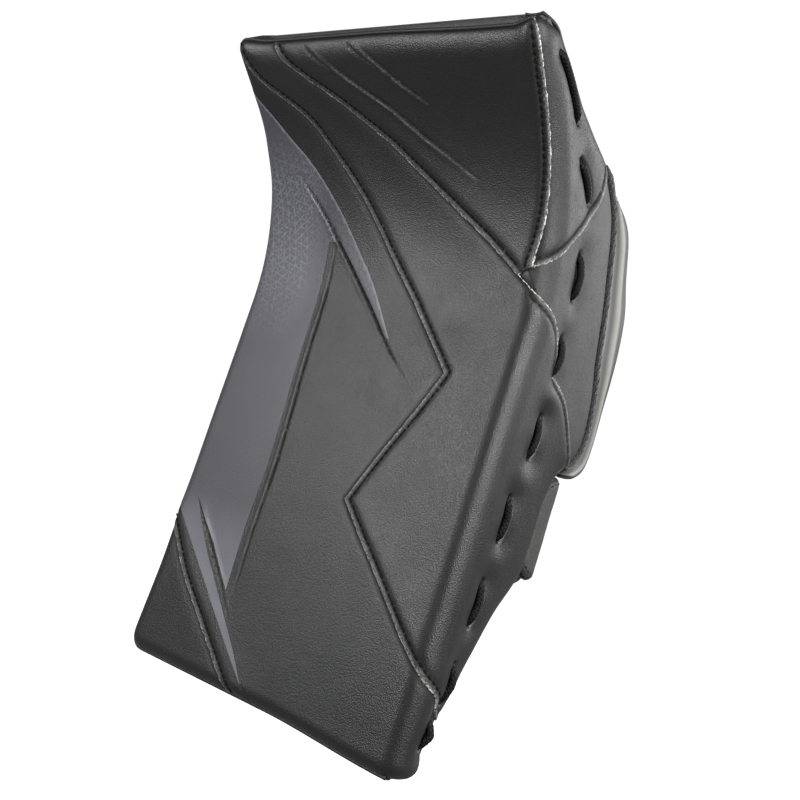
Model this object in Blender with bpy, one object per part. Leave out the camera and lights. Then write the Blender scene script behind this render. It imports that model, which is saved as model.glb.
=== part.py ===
"""Ice hockey goalie blocker for the right hand.

A board bent forward at its top stands in front of the hand. Its thumb side is a laced wall with
a wing, and a leather glove hand with a cuff is sewn behind it. All lengths are in millimetres
and become metres when a mesh is made. In board coordinates x runs towards the thumb side, y from
the board's face back to the palm and z up to the cuff, from the bottom edge of the face. The
finished frame has the same axes and its origin in the middle of the hand pocket.
"""

import math

import bmesh
import bpy
from mathutils import Vector

MM = 0.001
GAP = 0.4  # between pieces that touch

# The board
BOARD_WIDTH = 203.0  # 8 inches
BOARD_LENGTH = 381.0  # 15 inches, measured up the bent face
BEND_START = 222.0
BEND_END = 345.0
BEND_ANGLE = math.radians(46)
BEND_FACETS = 8
CORNER_RADIUS = 8.0
SIDE = BOARD_WIDTH / 2

# Its layers, as depths behind the face
SKIN = 1.6
FOAM_FRONT = (2.0, 12.0)
STIFFENER = (12.4, 15.4)
FOAM_BACK = (15.8, 22.6)
BACK_COVER = (23.0, 24.2)

# The thumb-side wall, as x positions
WALL_SKIN = (SIDE - SKIN, SIDE)
WALL_FOAM = (90.0, SIDE - SKIN - GAP)
WALL_LINER = (88.0, 89.6)
CORE_EDGE = 82.0  # where the back layers stop, to leave the lace its room

# The hand, behind the board
HAND_CENTRE = Vector((0.0, 47.5, 170.0))
FINGER_SPACING = 24.5
INDEX_X = 35.0
FINGER_Y = 47.0
FINGER_HALF = (11.5, 12.0)
FINGER_WALL = 2.2
KNUCKLE_Z = 118.0
POCKET_X = (-57.6, 47.4)
POCKET_Y = (33.0, 60.4)
PALM_THICKNESS = 3.0
THUMB_CENTRE = (81.5, 80.5)
THUMB_RADIUS = 11.5
THUMB_WALL = 2.0
THUMB_PAD = 3.6
THUMB_TOP = 158.0
THUMB_SPLIT = 131.5
THUMB_END = 101.5
THUMB_PAD_LOW = 111.0
THUMB_ELBOW = [  # each place with its direction and half sizes, before the last one at the thumb's top
    ((50.2, 49, 190), (1, 0, 0), 11, 15),
    ((61, 53, 189.5), (1, 0.35, -0.1), 11, 14.5),
    ((71, 62, 183), (0.8, 0.6, -0.8), 11.2, 13),
    ((75, 71.5, 174), (0.3, 0.5, -1), 11.4, 11.5),
]
FINGER_POWER = 3  # how square a finger is
FINGER_ENDS = (("index", 72, 32), ("middle", 68, 24), ("ring", 71, 30), ("little", 80, 46))  # joint, then tip
GUSSET = 2.4
GUSSET_TOP = 204.6
THUMB_GUSSET_TOP = 211.6
THUMB_NOTCH_Z = (177, 203)
THUMB_NOTCH_Y = 40
PALM_CORNER = 6
PATCH_X, PATCH_Z, PATCH_CORNER, PATCH_THICKNESS = (-38, 42), (128, 176), 14, 1.4
LITTLE_GUARD_X, LITTLE_GUARD_Y, LITTLE_GUARD_Z = -72, 56, (62, 200)
INDEX_GUARD_X, INDEX_GUARD_Y, INDEX_GUARD_Z = 60, 50, (50, 168)

# The cuff and its strap
CUFF_Z = (215.0, 300.0)
CUFF_BACK_Y = (26.0, 33.0)
CUFF_WING = 8.6  # thickness
OUTER_WING_Y, OUTER_WING_LOW = 83, 205
THUMB_WING_Y, THUMB_WING_LOW = 77.6, 212
CUFF_SHEET = 1.0
CUFF_SHEET_Y = 76
TAB_X, TAB_Y, TAB_Z = 18, (78, 80), (226, 284)
STRAP_Z = (237.0, 273.0)
STRAP_HINGE = (-62.0, 84.6)
STRAP_Y, STRAP_END = (83.6, 85.6), 60
LOOP_X, LOOP_Y = (22, 52), (80.4, 81.6)
HOOK_X, HOOK_Y = (24, 50), (82, 83.2)
PULL_Y, PULL_END = (83.4, 85.8), 74
ANCHOR_Y = 50

LACE_RADIUS = 2.0
LACE_HOLE_RADIUS = 2.6
LACE_LEAD = 2.0  # how far past a hole the lace turns in
LACED_PIECES = (
    "wall_panel_upper", "wall_panel_wing", "wall_panel_lower", "wall_panel_toe", "wall_foam", "wall_liner",
)
PIPING_RADIUS = 1.5

# Seams on the face, as (x, distance up the face)
SEAM_A = [(-76, 381), (-59, 361), (-20, 333), (34, 293), (70, 268), (SIDE, 245)]
SEAM_B = [(-99.5, 378.5), (-91, 361), (-60, 332), (-22, 287), (14, 245), (60, 197)]
ZIGZAG = [(22, 119), (SIDE, 47)]
SEAM_C = [(-SIDE, 78), (-77, 51), (-52, 29), (-28, 9), (-8, 0)]
GREY_TOP = [(-SIDE, 353), (-81, 326), (-42, 282)]
GREY_EDGE = [(-42, 264), (-35, 44.5)]
GREY_FORK = [(-61, 72), (-87, 96), (-67, 70), (-34, 35.5), (-8.6, 8.4), (-28, 24), (-62, 54), (-SIDE, 90)]

# Seams and edges of the wall, as (distance up the face, depth behind it)
SEAM_A_SIDE = [(245, 2), (238, 16.5), (230, 27), (213.5, 36.5), (204, 51.5), (190, 65.5), (174, 80.5)]
SEAM_B_SIDE = [(47, 2), (37, 18.5), (27, 28.8)]
SEAM_D = [(261, 2), (272, 19.5), (282, 35.5), (291, 47), (305, 58)]
LOWER_REAR = [(30, 30), (50, 35.5), (67, 42), (86, 50), (102, 60), (113, 65), (130, 66), (150, 66), (168, 71)]
WING_REAR = [(174, 80.5), (184, 89), (199, 90.5), (220, 86), (233, 79), (262, 72), (286, 68.5), (305, 58)]
UPPER_REAR = [(305, 58), (320, 42), (340, 30.5), (363, 24), (372, 18.5)]
GUARD_REAR = [
    (169, 84), (169.5, 93), (179, 101), (197, 103), (222, 101), (249, 99), (264, 92), (285, 85), (297, 67),
]

# Where the lace passes through the wall, from the top down
LACE_HOLES = [
    (360, 19.5), (326, 28), (309, 30), (291, 37.5), (269, 36.5), (250, 36.5),
    (232, 35), (214, 36), (191, 35), (168, 36), (145, 30), (122, 31),
    (100, 28.5), (77, 28), (56.5, 26.5), (36, 26), (27, 23), (13, 20),
]

FINISHES = {
    "leather": ((0.020, 0.020, 0.021), 0.45, 0.0),
    "print": ((0.10, 0.10, 0.13), 0.42, 0.0),
    "smooth": ((0.045, 0.046, 0.047), 0.38, 0.0),
    "guard": ((0.16, 0.16, 0.16), 0.25, 0.0),
    "palm": ((0.030, 0.029, 0.028), 0.75, 0.0),
    "foam": ((0.06, 0.06, 0.065), 0.9, 0.0),
    "plastic": ((0.35, 0.36, 0.38), 0.4, 0.0),
    "mesh": ((0.012, 0.012, 0.012), 0.85, 0.0),
    "lace": ((0.010, 0.010, 0.012), 0.7, 0.0),
    "webbing": ((0.014, 0.014, 0.015), 0.8, 0.0),
}


def clear_scene():
    for obj in list(bpy.data.objects):
        bpy.data.objects.remove(obj, do_unlink=True)


def add_axis(name, at, parent=None):
    """An empty at a place in board coordinates, for the pieces that turn with it."""
    empty = bpy.data.objects.new(name, None)
    empty.empty_display_size = 0.01
    empty["board_mm"] = list(at)
    bpy.context.collection.objects.link(empty)
    if parent:
        empty.parent = parent
        empty.location = (Vector(at) - Vector(parent["board_mm"])) * MM
    return empty


def add_object(name, data, finish, parent):
    colour, roughness, metallic = FINISHES[finish]
    made = bpy.data.materials.new(name)
    made.use_nodes = True
    shader = made.node_tree.nodes["Principled BSDF"]
    shader.inputs["Base Color"].default_value = (*colour, 1.0)
    shader.inputs["Roughness"].default_value = roughness
    shader.inputs["Metallic"].default_value = metallic
    data.materials.append(made)
    obj = bpy.data.objects.new(name, data)
    bpy.context.collection.objects.link(obj)
    obj.parent = parent
    return obj


def add_mesh(name, bm, finish, parent, smooth_sides=False):
    """Name a mesh drawn in board millimetres and put its origin on its parent's axis."""
    centre = Vector(parent["board_mm"])
    for vert in bm.verts:
        vert.co = (vert.co - centre) * MM
    bmesh.ops.recalc_face_normals(bm, faces=bm.faces)
    mesh = bpy.data.meshes.new(name)
    bm.to_mesh(mesh)
    bm.free()
    if smooth_sides:
        mesh.shade_smooth()
        mesh.set_sharp_from_angle(angle=math.radians(40))
    return add_object(name, mesh, finish, parent)


# Curves and the board's bend

def smooth(points, steps=3):
    """Points of a Catmull-Rom curve through the given ones."""
    ends = [points[0], *points, points[-1]]
    curve = []
    for a, b, c, d in zip(ends, ends[1:], ends[2:], ends[3:]):
        for k in range(steps):
            t = k / steps
            curve.append(tuple(
                0.5 * (2 * q + (r - p) * t
                       + (2 * p - 5 * q + 4 * r - s) * t**2
                       + (3 * q - p - 3 * r + s) * t**3)
                for p, q, r, s in zip(a, b, c, d)
            ))
    return curve + [tuple(points[-1])]


STATIONS = [BEND_START + (BEND_END - BEND_START) * k / BEND_FACETS for k in range(BEND_FACETS + 1)]


def on_arc(up, depth):
    """(y, z) of a place up the face and behind it, on the true bend."""
    radius = (BEND_END - BEND_START) / BEND_ANGLE
    turn = min(max((up - BEND_START) / radius, 0.0), BEND_ANGLE)
    past = max(up - BEND_END, 0.0)
    y = -radius * (1 - math.cos(turn)) - past * math.sin(turn) + depth * math.cos(turn)
    z = min(up, BEND_START) + radius * math.sin(turn) + past * math.cos(turn) + depth * math.sin(turn)
    return y, z


def on_board(up, depth):
    """The same on the bend's flat facets, so that layers stay parallel."""
    for low, high in zip(STATIONS, STATIONS[1:]):
        if low < up < high:
            share = (up - low) / (high - low)
            return tuple(a + (b - a) * share for a, b in zip(on_arc(low, depth), on_arc(high, depth)))
    return on_arc(up, depth)


def up_the_edge(start, end, depth):
    """Places from start to end at one depth, with one at each facet's edge between."""
    between = [s for s in STATIONS if min(start, end) < s < max(start, end)]
    if start > end:
        between.reverse()
    return [(s, depth) for s in [start, *between, end]]


def rounded(x_low, x_high, low, high, radius, steps=3):
    """A rectangle's outline with round corners, from the lower right corner clockwise."""
    corners = [(x_high, low, 0), (x_low, low, 1), (x_low, high, 2), (x_high, high, 3)]
    outline = []
    for x, s, quarter in corners:
        centre_x = x - radius if x == x_high else x + radius
        centre_s = s + radius if s == low else s - radius
        for k in range(steps + 1):
            turn = -math.pi / 2 * (quarter + k / steps)
            outline.append((centre_x + radius * math.cos(turn), centre_s + radius * math.sin(turn)))
    return outline


def outline_face(outline, inset):
    """A flat face on an outline, drawn in by the inset."""
    bm = bmesh.new()
    face = bm.faces.new([bm.verts.new((a, b, 0)) for a, b in outline])
    bm.normal_update()
    if inset:
        rim = bmesh.ops.inset_region(
            bm, faces=[face], thickness=inset, use_boundary=True, use_even_offset=True)["faces"]
        bmesh.ops.delete(bm, geom=rim, context="FACES")
    return bm


def thicken(bm, low, high, place):
    """Extrude a flat face between two heights and move each point by place(a, b, height)."""
    made = bmesh.ops.extrude_face_region(bm, geom=list(bm.faces))["geom"]
    far = {item for item in made if isinstance(item, bmesh.types.BMVert)}
    for vert in bm.verts:
        vert.co = place(vert.co.x, vert.co.y, high if vert in far else low)
    return bm


# Kinds of piece

def board_sheet(name, outline, depths, finish, parent, inset=0.0):
    """A layer of the board: an outline on the face, bent with it, between two depths."""
    bm = outline_face(outline, inset)
    for station in STATIONS:
        geometry = [*bm.verts, *bm.edges, *bm.faces]
        bmesh.ops.bisect_plane(bm, geom=geometry, dist=1e-4, plane_co=(0, station, 0), plane_no=(0, 1, 0))
    thicken(bm, *depths, lambda x, up, depth: Vector((x, *on_board(up, depth))))
    return add_mesh(name, bm, finish, parent)


def wall_sheet(name, outline, x_range, finish, parent, inset=0.0):
    """An upright sheet across x, with an outline of (up the face, depth) places."""
    bm = outline_face([on_board(up, depth) for up, depth in outline], inset)
    thicken(bm, *x_range, lambda y, z, x: Vector((x, y, z)))
    return add_mesh(name, bm, finish, parent)


def pad(name, low, high, finish, parent, bevel=2.5):
    """A padded block with its edges rounded."""
    bm = bmesh.new()
    bmesh.ops.create_cube(bm, size=1.0)
    for vert in bm.verts:
        vert.co = Vector(a + (b - a) * (c + 0.5) for a, b, c in zip(low, high, vert.co))
    obj = add_mesh(name, bm, finish, parent, smooth_sides=True)
    if bevel:
        rounding = obj.modifiers.new("rounding", "BEVEL")
        rounding.width = bevel * MM
        rounding.segments = 2
    return obj


def ring(centre, half_u, half_v, along, power, sides=12):
    """Points round a centre, square to a direction: a circle at power 2, squarer above it."""
    along = Vector(along).normalized()
    v_axis = along.cross(Vector((0, 1, 0))).normalized()
    u_axis = v_axis.cross(along)
    points = []
    for k in range(sides):
        turn = 2 * math.pi * (k + 0.5) / sides
        c, s = math.cos(turn), math.sin(turn)
        size = (abs(c) ** power + abs(s) ** power) ** (-1 / power)
        points.append(Vector(centre) + u_axis * (half_u * size * c) + v_axis * (half_v * size * s))
    return points


def loft(name, rings, closed, finish, parent):
    """Join rings of equal count in order, either round to the first or with flat ends."""
    bm = bmesh.new()
    loops = [[bm.verts.new(p) for p in points] for points in rings]
    pairs = list(zip(loops, loops[1:]))
    if closed:
        pairs.append((loops[-1], loops[0]))
    else:
        bm.faces.new(loops[0])
        bm.faces.new(loops[-1])
    for first, second in pairs:
        for k in range(len(first)):
            n = (k + 1) % len(first)
            bm.faces.new([first[k], first[n], second[n], second[k]])
    return add_mesh(name, bm, finish, parent, smooth_sides=True)


def sleeve(name, centre, half, wall, z_top, z_end, power, finish, parent, tip):
    """A hollow finger length that hangs down: open at both ends, or closed round at its tip."""
    down = (0, 0, -1)

    def level(z, share, thick):
        return ring((*centre, z), (half[1] - thick) * share, (half[0] - thick) * share, down, power)

    if not tip:
        rings = [level(z_top, 1, 0), level(z_end, 1, 0), level(z_end, 1, wall), level(z_top, 1, wall)]
        return loft(name, rings, True, finish, parent)
    round_end = min(half)
    outside = [level(z_top, 1, 0)]
    inside = [level(z_top, 1, wall)]
    for turn in (0, 30, 60, 80):
        share, drop = math.cos(math.radians(turn)), round_end * math.sin(math.radians(turn))
        outside.append(level(z_end + round_end - drop, share, 0))
        inside.append(level(z_end + round_end + wall - drop, share, wall))
    return loft(name, [*reversed(inside), *outside], False, finish, parent)


# The object's own pieces

def add_face(root):
    """The sewn leather of the face: five panels that meet at the seams."""
    seam_a, seam_b = smooth(SEAM_A), smooth(SEAM_B)
    seam_c, grey_top = smooth(SEAM_C, 2), smooth(GREY_TOP)
    right = SIDE - CORNER_RADIUS
    top_corner = rounded(-SIDE, SIDE, 0, BOARD_LENGTH, CORNER_RADIUS)[12:]
    low_right = rounded(-SIDE, SIDE, 0, BOARD_LENGTH, CORNER_RADIUS)[:4]
    low_left = rounded(-SIDE, SIDE, 0, BOARD_LENGTH, CORNER_RADIUS)[4:8]
    upper = [*reversed(seam_a), (right, BOARD_LENGTH), *top_corner[1:]]
    sweep = [*seam_a, ZIGZAG[1], ZIGZAG[0], *reversed(seam_b), (-96, BOARD_LENGTH)]
    main = [*seam_b, *ZIGZAG, *low_right, *reversed(seam_c), *reversed(GREY_FORK), *reversed(GREY_EDGE)]
    main += [*reversed(grey_top), (-SIDE, 375)]
    grey = [*grey_top, *GREY_EDGE, *GREY_FORK]
    corner = [*seam_c, *low_left]
    half_gap = GAP / 2
    for name, outline, finish in (
        ("face_panel_upper", upper, "leather"),
        ("face_panel_sweep", sweep, "leather"),
        ("face_panel_main", main, "leather"),
        ("face_panel_grey", grey, "print"),
        ("face_panel_corner", corner, "leather"),
    ):
        board_sheet(name, outline, (0.0, SKIN), finish, root, inset=half_gap)


def add_board(root):
    """The layers behind the face, and the covers over their edges."""
    inner = SIDE - SKIN - GAP
    whole = rounded(-inner, inner, SKIN + GAP, BOARD_LENGTH - SKIN - GAP, CORNER_RADIUS - SKIN - GAP)
    board_sheet("board_foam_front", whole, FOAM_FRONT, "foam", root)
    board_sheet("board_stiffener", whole, STIFFENER, "plastic", root)
    board_sheet("board_foam_back", rounded(-96, CORE_EDGE, 6, 374, 6), FOAM_BACK, "foam", root)
    board_sheet("board_back_cover", rounded(-98, CORE_EDGE, 4, 376, 7), BACK_COVER, "mesh", root)
    outside = rounded(-SIDE, SIDE, 0, BOARD_LENGTH, CORNER_RADIUS)
    inside = rounded(-SIDE + SKIN, SIDE - SKIN, SKIN, BOARD_LENGTH - SKIN, CORNER_RADIUS - SKIN)
    depths = (FOAM_FRONT[0], STIFFENER[1])
    end = SIDE - SKIN - GAP
    side_x = -SIDE + CORNER_RADIUS + GAP
    bottom = [(end, 0), (side_x, 0), (side_x, SKIN), (end, SKIN)]
    top = [(x, BOARD_LENGTH - s) for x, s in bottom]
    board_sheet("edge_cover_bottom", bottom, depths, "leather", root)
    board_sheet("edge_cover_outer", [*outside[4:12], *reversed(inside[4:12])], depths, "leather", root)
    board_sheet("edge_cover_top", top, depths, "leather", root)


def add_wall(root):
    """The thumb-side wall: sewn skins outside, foam, and a liner inside."""
    front = FOAM_FRONT[0]
    upper = [*up_the_edge(261, 379, front), (379, 11), *reversed(smooth(UPPER_REAR))]
    upper += reversed(smooth(SEAM_D)[1:-1])
    wing = [*up_the_edge(245, 261, front)[:-1], *smooth(SEAM_D), *reversed(smooth(WING_REAR)[:-1])]
    wing += reversed(smooth(SEAM_A_SIDE)[1:-1])
    lower = [*smooth(SEAM_A_SIDE), *reversed(smooth(LOWER_REAR)), *reversed(smooth(SEAM_B_SIDE))]
    lower += up_the_edge(47, 245, front)[1:-1]
    toe = [*smooth(SEAM_B_SIDE), (9.5, 24), (1, 14), (1, front)]
    half_gap = GAP / 2
    wall_sheet("wall_panel_upper", upper, WALL_SKIN, "leather", root, half_gap)
    wall_sheet("wall_panel_wing", wing, WALL_SKIN, "smooth", root, half_gap)
    wall_sheet("wall_panel_lower", lower, WALL_SKIN, "leather", root, half_gap)
    wall_sheet("wall_panel_toe", toe, WALL_SKIN, "leather", root, half_gap)
    rear = [(9.5, 24), *LOWER_REAR, *WING_REAR[:-1], *UPPER_REAR]
    foam_front = FOAM_BACK[0] - 1.5
    foam = [*up_the_edge(375, 2, foam_front), *rear]
    wall_sheet("wall_foam", foam, WALL_FOAM, "foam", root, 1.5)
    liner = [*up_the_edge(335, 40, foam_front), *LOWER_REAR[1:], *WING_REAR[:-1], *UPPER_REAR[:2]]
    wall_sheet("wall_liner", liner, WALL_LINER, "mesh", root, 3.0)


def offset_path(points, distance):
    """A path beside another one, to the left of its direction."""
    moved = []
    for k, point in enumerate(points):
        before = Vector(points[max(k - 1, 0)])
        after = Vector(points[min(k + 1, len(points) - 1)])
        along = (after - before).normalized()
        moved.append((point[0] - along.y * distance, point[1] + along.x * distance))
    return moved


def add_tube(name, points, radius, finish, parent, sides_step=1):
    """A round cord or piping along a list of places in board coordinates."""
    curve = bpy.data.curves.new(name, "CURVE")
    curve.dimensions = "3D"
    curve.bevel_depth = radius * MM
    curve.bevel_resolution = sides_step
    curve.use_fill_caps = True
    spline = curve.splines.new("POLY")
    spline.points.add(len(points) - 1)
    centre = Vector(parent["board_mm"])
    for place, point in zip(points, spline.points):
        point.co = (*((Vector(place) - centre) * MM), 1.0)
    return add_object(name, curve, finish, parent)


def add_guard(root):
    """The glossy guard that stands behind the wing's rear edge, and the piping between."""
    rear = [on_arc(*place) for place in smooth(WING_REAR, 2)]
    piping = offset_path(rear[1:-1], -PIPING_RADIUS - GAP)
    piping_x = SIDE - 1.0
    add_tube("wing_piping", [(piping_x, y, z) for y, z in piping], PIPING_RADIUS, "mesh", root)
    inner = offset_path(rear[1:-2], -2 * PIPING_RADIUS - 2 * GAP)
    outer = [on_arc(*place) for place in smooth(GUARD_REAR, 2)]
    bm = outline_face([*inner, *reversed(outer)], 0.0)
    thicken(bm, WALL_FOAM[0], SIDE - 0.5, lambda y, z, x: Vector((x, y, z)))
    add_mesh("thumb_guard", bm, "guard", root)
    binding = offset_path(outer[1:-1], -PIPING_RADIUS - GAP)
    binding_x = (WALL_FOAM[0] + SIDE) / 2
    add_tube("guard_binding", [(binding_x, y, z) for y, z in binding], PIPING_RADIUS, "webbing", root)


def add_lace(root):
    """One lace, woven in and out through the wall, and the holes that it passes."""
    outside_x = SIDE + LACE_RADIUS + GAP
    inside_x = WALL_LINER[0] - LACE_RADIUS - GAP
    beyond = Vector((0, 0, 10))
    holes = [Vector((0, *on_arc(*place))) for place in LACE_HOLES]
    route = [holes[0] + Vector((inside_x, 0, 9))]
    for k, hole in enumerate(holes):
        outward = k % 2 == 0
        before = holes[k - 1] if k else hole + beyond
        after = holes[k + 1] if k < len(holes) - 1 else hole - beyond
        start_x, end_x = (inside_x, outside_x) if outward else (outside_x, inside_x)
        turn = 0.6 * LACE_LEAD if outward else -0.6 * LACE_LEAD
        route.append(hole + (before - hole).normalized() * LACE_LEAD + Vector((start_x, 0, 0)))
        route.append(hole + Vector((start_x + turn, 0, 0)))
        route.append(hole + Vector((end_x - turn, 0, 0)))
        route.append(hole + (after - hole).normalized() * LACE_LEAD + Vector((end_x, 0, 0)))
    route.append(holes[-1] + Vector((inside_x, 0, -8)))
    add_tube("side_lace", route, LACE_RADIUS, "lace", root)

    bm = bmesh.new()
    turns = [2 * math.pi * (k + 0.5) / 8 for k in range(8)]
    around = [(LACE_HOLE_RADIUS * math.cos(turn), LACE_HOLE_RADIUS * math.sin(turn)) for turn in turns]
    for hole in holes:
        loops = []
        for x in (WALL_LINER[0] - 5, SIDE + 5):
            loops.append([bm.verts.new(hole + Vector((x, y, z))) for y, z in around])
        bm.faces.new(loops[0])
        bm.faces.new(loops[1])
        for k in range(8):
            n = (k + 1) % 8
            bm.faces.new([loops[0][k], loops[0][n], loops[1][n], loops[1][k]])
    cutter = add_mesh("lace_hole_cutter", bm, "lace", root)
    cutter.hide_render = True
    cutter.display_type = "WIRE"
    for name in LACED_PIECES:
        cut = bpy.data.objects[name].modifiers.new("lace holes", "BOOLEAN")
        cut.operation = "DIFFERENCE"
        cut.solver = "EXACT"
        cut.object = cutter


def add_hand(root):
    """The fixed parts of the glove hand: back pad, gussets, palm and finger guards."""
    back_y = BACK_COVER[1] + GAP
    side_y = POCKET_Y[1] - GAP
    bottom = KNUCKLE_Z + GAP
    low, high = POCKET_X
    top = CUFF_Z[0] - GAP
    pad("hand_back_pad", (low + GAP, back_y, bottom), (high - GAP, POCKET_Y[0], top), "foam", root)
    outer_low, outer_high = (low - GUSSET, back_y, bottom), (low, side_y, GUSSET_TOP)
    pad("gusset_outer", outer_low, outer_high, "palm", root, 0)
    notch_low, notch_high = THUMB_NOTCH_Z
    notched = [
        (back_y, bottom), (side_y, bottom), (side_y, notch_low), (THUMB_NOTCH_Y, notch_low),
        (THUMB_NOTCH_Y, notch_high), (side_y, notch_high), (side_y, THUMB_GUSSET_TOP),
        (back_y, THUMB_GUSSET_TOP),
    ]
    bm = outline_face(notched, 0.0)
    thicken(bm, high, high + GUSSET, lambda y, z, x: Vector((x, y, z)))
    add_mesh("gusset_thumb", bm, "palm", root)
    palm_back = POCKET_Y[1] + PALM_THICKNESS
    bm = outline_face(rounded(low - GUSSET, high + GUSSET, bottom, GUSSET_TOP, PALM_CORNER), 0.0)
    thicken(bm, POCKET_Y[1], palm_back, lambda x, z, y: Vector((x, y, z)))
    add_mesh("palm", bm, "palm", root)
    bm = outline_face(rounded(*PATCH_X, *PATCH_Z, PATCH_CORNER), 0.0)
    patch_y = palm_back + GAP
    thicken(bm, patch_y, patch_y + PATCH_THICKNESS, lambda x, z, y: Vector((x, y, z)))
    add_mesh("palm_patch", bm, "leather", root)
    guard_low, guard_high = LITTLE_GUARD_Z
    pad("little_finger_guard", (LITTLE_GUARD_X, back_y, guard_low),
        (low - GUSSET - GAP, LITTLE_GUARD_Y, guard_high), "leather", root, 4)
    guard_low, guard_high = INDEX_GUARD_Z
    pad("index_finger_guard", (high + GUSSET + GAP, back_y, guard_low),
        (INDEX_GUARD_X, INDEX_GUARD_Y, guard_high), "leather", root, 3.5)


def add_fingers(root):
    """Four fingers, each a base that turns at the knuckle and a tip that turns on the base."""
    hinge_y = FINGER_Y + FINGER_HALF[1] + GAP / 2
    for k, (name, middle_z, end_z) in enumerate(FINGER_ENDS):
        centre = (INDEX_X - FINGER_SPACING * k, FINGER_Y)
        knuckle = add_axis(f"{name}_knuckle_axis", (centre[0], hinge_y, KNUCKLE_Z), root)
        joint = add_axis(f"{name}_joint_axis", (centre[0], hinge_y, middle_z), knuckle)
        sleeve(f"{name}_finger_base", centre, FINGER_HALF, FINGER_WALL, KNUCKLE_Z, middle_z + GAP / 2,
               FINGER_POWER, "leather", knuckle, tip=False)
        sleeve(f"{name}_finger_tip", centre, FINGER_HALF, FINGER_WALL, middle_z - GAP / 2, end_z,
               FINGER_POWER, "leather", joint, tip=True)


def thumb_shell(name, z_low, z_high, parent):
    """A padded half shell on the outer and palm sides of the thumb."""
    inner, outer = THUMB_RADIUS + GAP, THUMB_RADIUS + THUMB_PAD + GAP
    turns = [math.radians(-40 + 180 * k / 8) for k in range(9)]
    outline = [(outer * math.cos(t), outer * math.sin(t)) for t in turns]
    outline += [(inner * math.cos(t), inner * math.sin(t)) for t in reversed(turns)]
    bm = outline_face([(THUMB_CENTRE[0] + a, THUMB_CENTRE[1] + b) for a, b in outline], 0.0)
    thicken(bm, z_low, z_high, lambda x, y, z: Vector((x, y, z)))
    add_mesh(name, bm, "leather", parent, smooth_sides=True)


def add_thumb(root):
    """The thumb: an open elbow from the hand pocket, then a base and a tip that hang from it."""
    x, y = THUMB_CENTRE
    stations = [*THUMB_ELBOW, ((x, y, THUMB_TOP + GAP), (0, 0, -1), THUMB_RADIUS, THUMB_RADIUS)]
    outside = [ring(centre, u, v, along, 2) for centre, along, u, v in stations]
    inside = [ring(centre, u - THUMB_WALL, v - THUMB_WALL, along, 2) for centre, along, u, v in stations]
    loft("thumb_elbow", [*outside, *reversed(inside)], True, "leather", root)
    hinge_x = x - THUMB_RADIUS - GAP / 2
    knuckle = add_axis("thumb_knuckle_axis", (hinge_x, y, THUMB_TOP), root)
    joint = add_axis("thumb_joint_axis", (hinge_x, y, THUMB_SPLIT), knuckle)
    half = (THUMB_RADIUS, THUMB_RADIUS)
    sleeve("thumb_base", THUMB_CENTRE, half, THUMB_WALL, THUMB_TOP, THUMB_SPLIT + GAP / 2,
           2, "leather", knuckle, tip=False)
    sleeve("thumb_tip", THUMB_CENTRE, half, THUMB_WALL, THUMB_SPLIT - GAP / 2, THUMB_END,
           2, "leather", joint, tip=True)
    thumb_shell("thumb_base_pad", THUMB_SPLIT + GAP / 2, THUMB_TOP, knuckle)
    thumb_shell("thumb_tip_pad", THUMB_PAD_LOW, THUMB_SPLIT - GAP / 2, joint)


def add_cuff(root):
    """The cuff's padded walls and liner, its closing tab, and the strap over it."""
    low, high = CUFF_Z
    pocket_low, pocket_high = POCKET_X
    front, back = CUFF_BACK_Y
    outer_side, thumb_side = pocket_low - CUFF_WING, pocket_high + CUFF_WING
    pad("cuff_back", (pocket_low + GAP, front, low), (pocket_high - GAP, back, high), "leather", root)
    wing_low, wing_high = (outer_side, front, OUTER_WING_LOW), (pocket_low, OUTER_WING_Y, high)
    pad("cuff_wing_outer", wing_low, wing_high, "leather", root, 3)
    wing_low, wing_high = (pocket_high, front, THUMB_WING_LOW), (thumb_side, THUMB_WING_Y, high)
    pad("cuff_wing_thumb", wing_low, wing_high, "leather", root, 3)
    sheet_low, sheet_high = pocket_low + GAP, pocket_high - GAP
    sheet_front = back + GAP
    inside = CUFF_SHEET
    around = [
        (sheet_low, CUFF_SHEET_Y), (sheet_low, sheet_front),
        (sheet_high, sheet_front), (sheet_high, CUFF_SHEET_Y),
        (sheet_high - inside, CUFF_SHEET_Y), (sheet_high - inside, sheet_front + inside),
        (sheet_low + inside, sheet_front + inside), (sheet_low + inside, CUFF_SHEET_Y),
    ]
    bm = outline_face(around, 0.0)
    thicken(bm, low + 2, high - 2, lambda x, y, z: Vector((x, y, z)))
    add_mesh("cuff_liner", bm, "mesh", root)
    pad("cuff_tab", (TAB_X, TAB_Y[0], TAB_Z[0]), (thumb_side, TAB_Y[1], TAB_Z[1]), "leather", root, 0)
    add_strap(root, outer_side - GAP)


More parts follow.
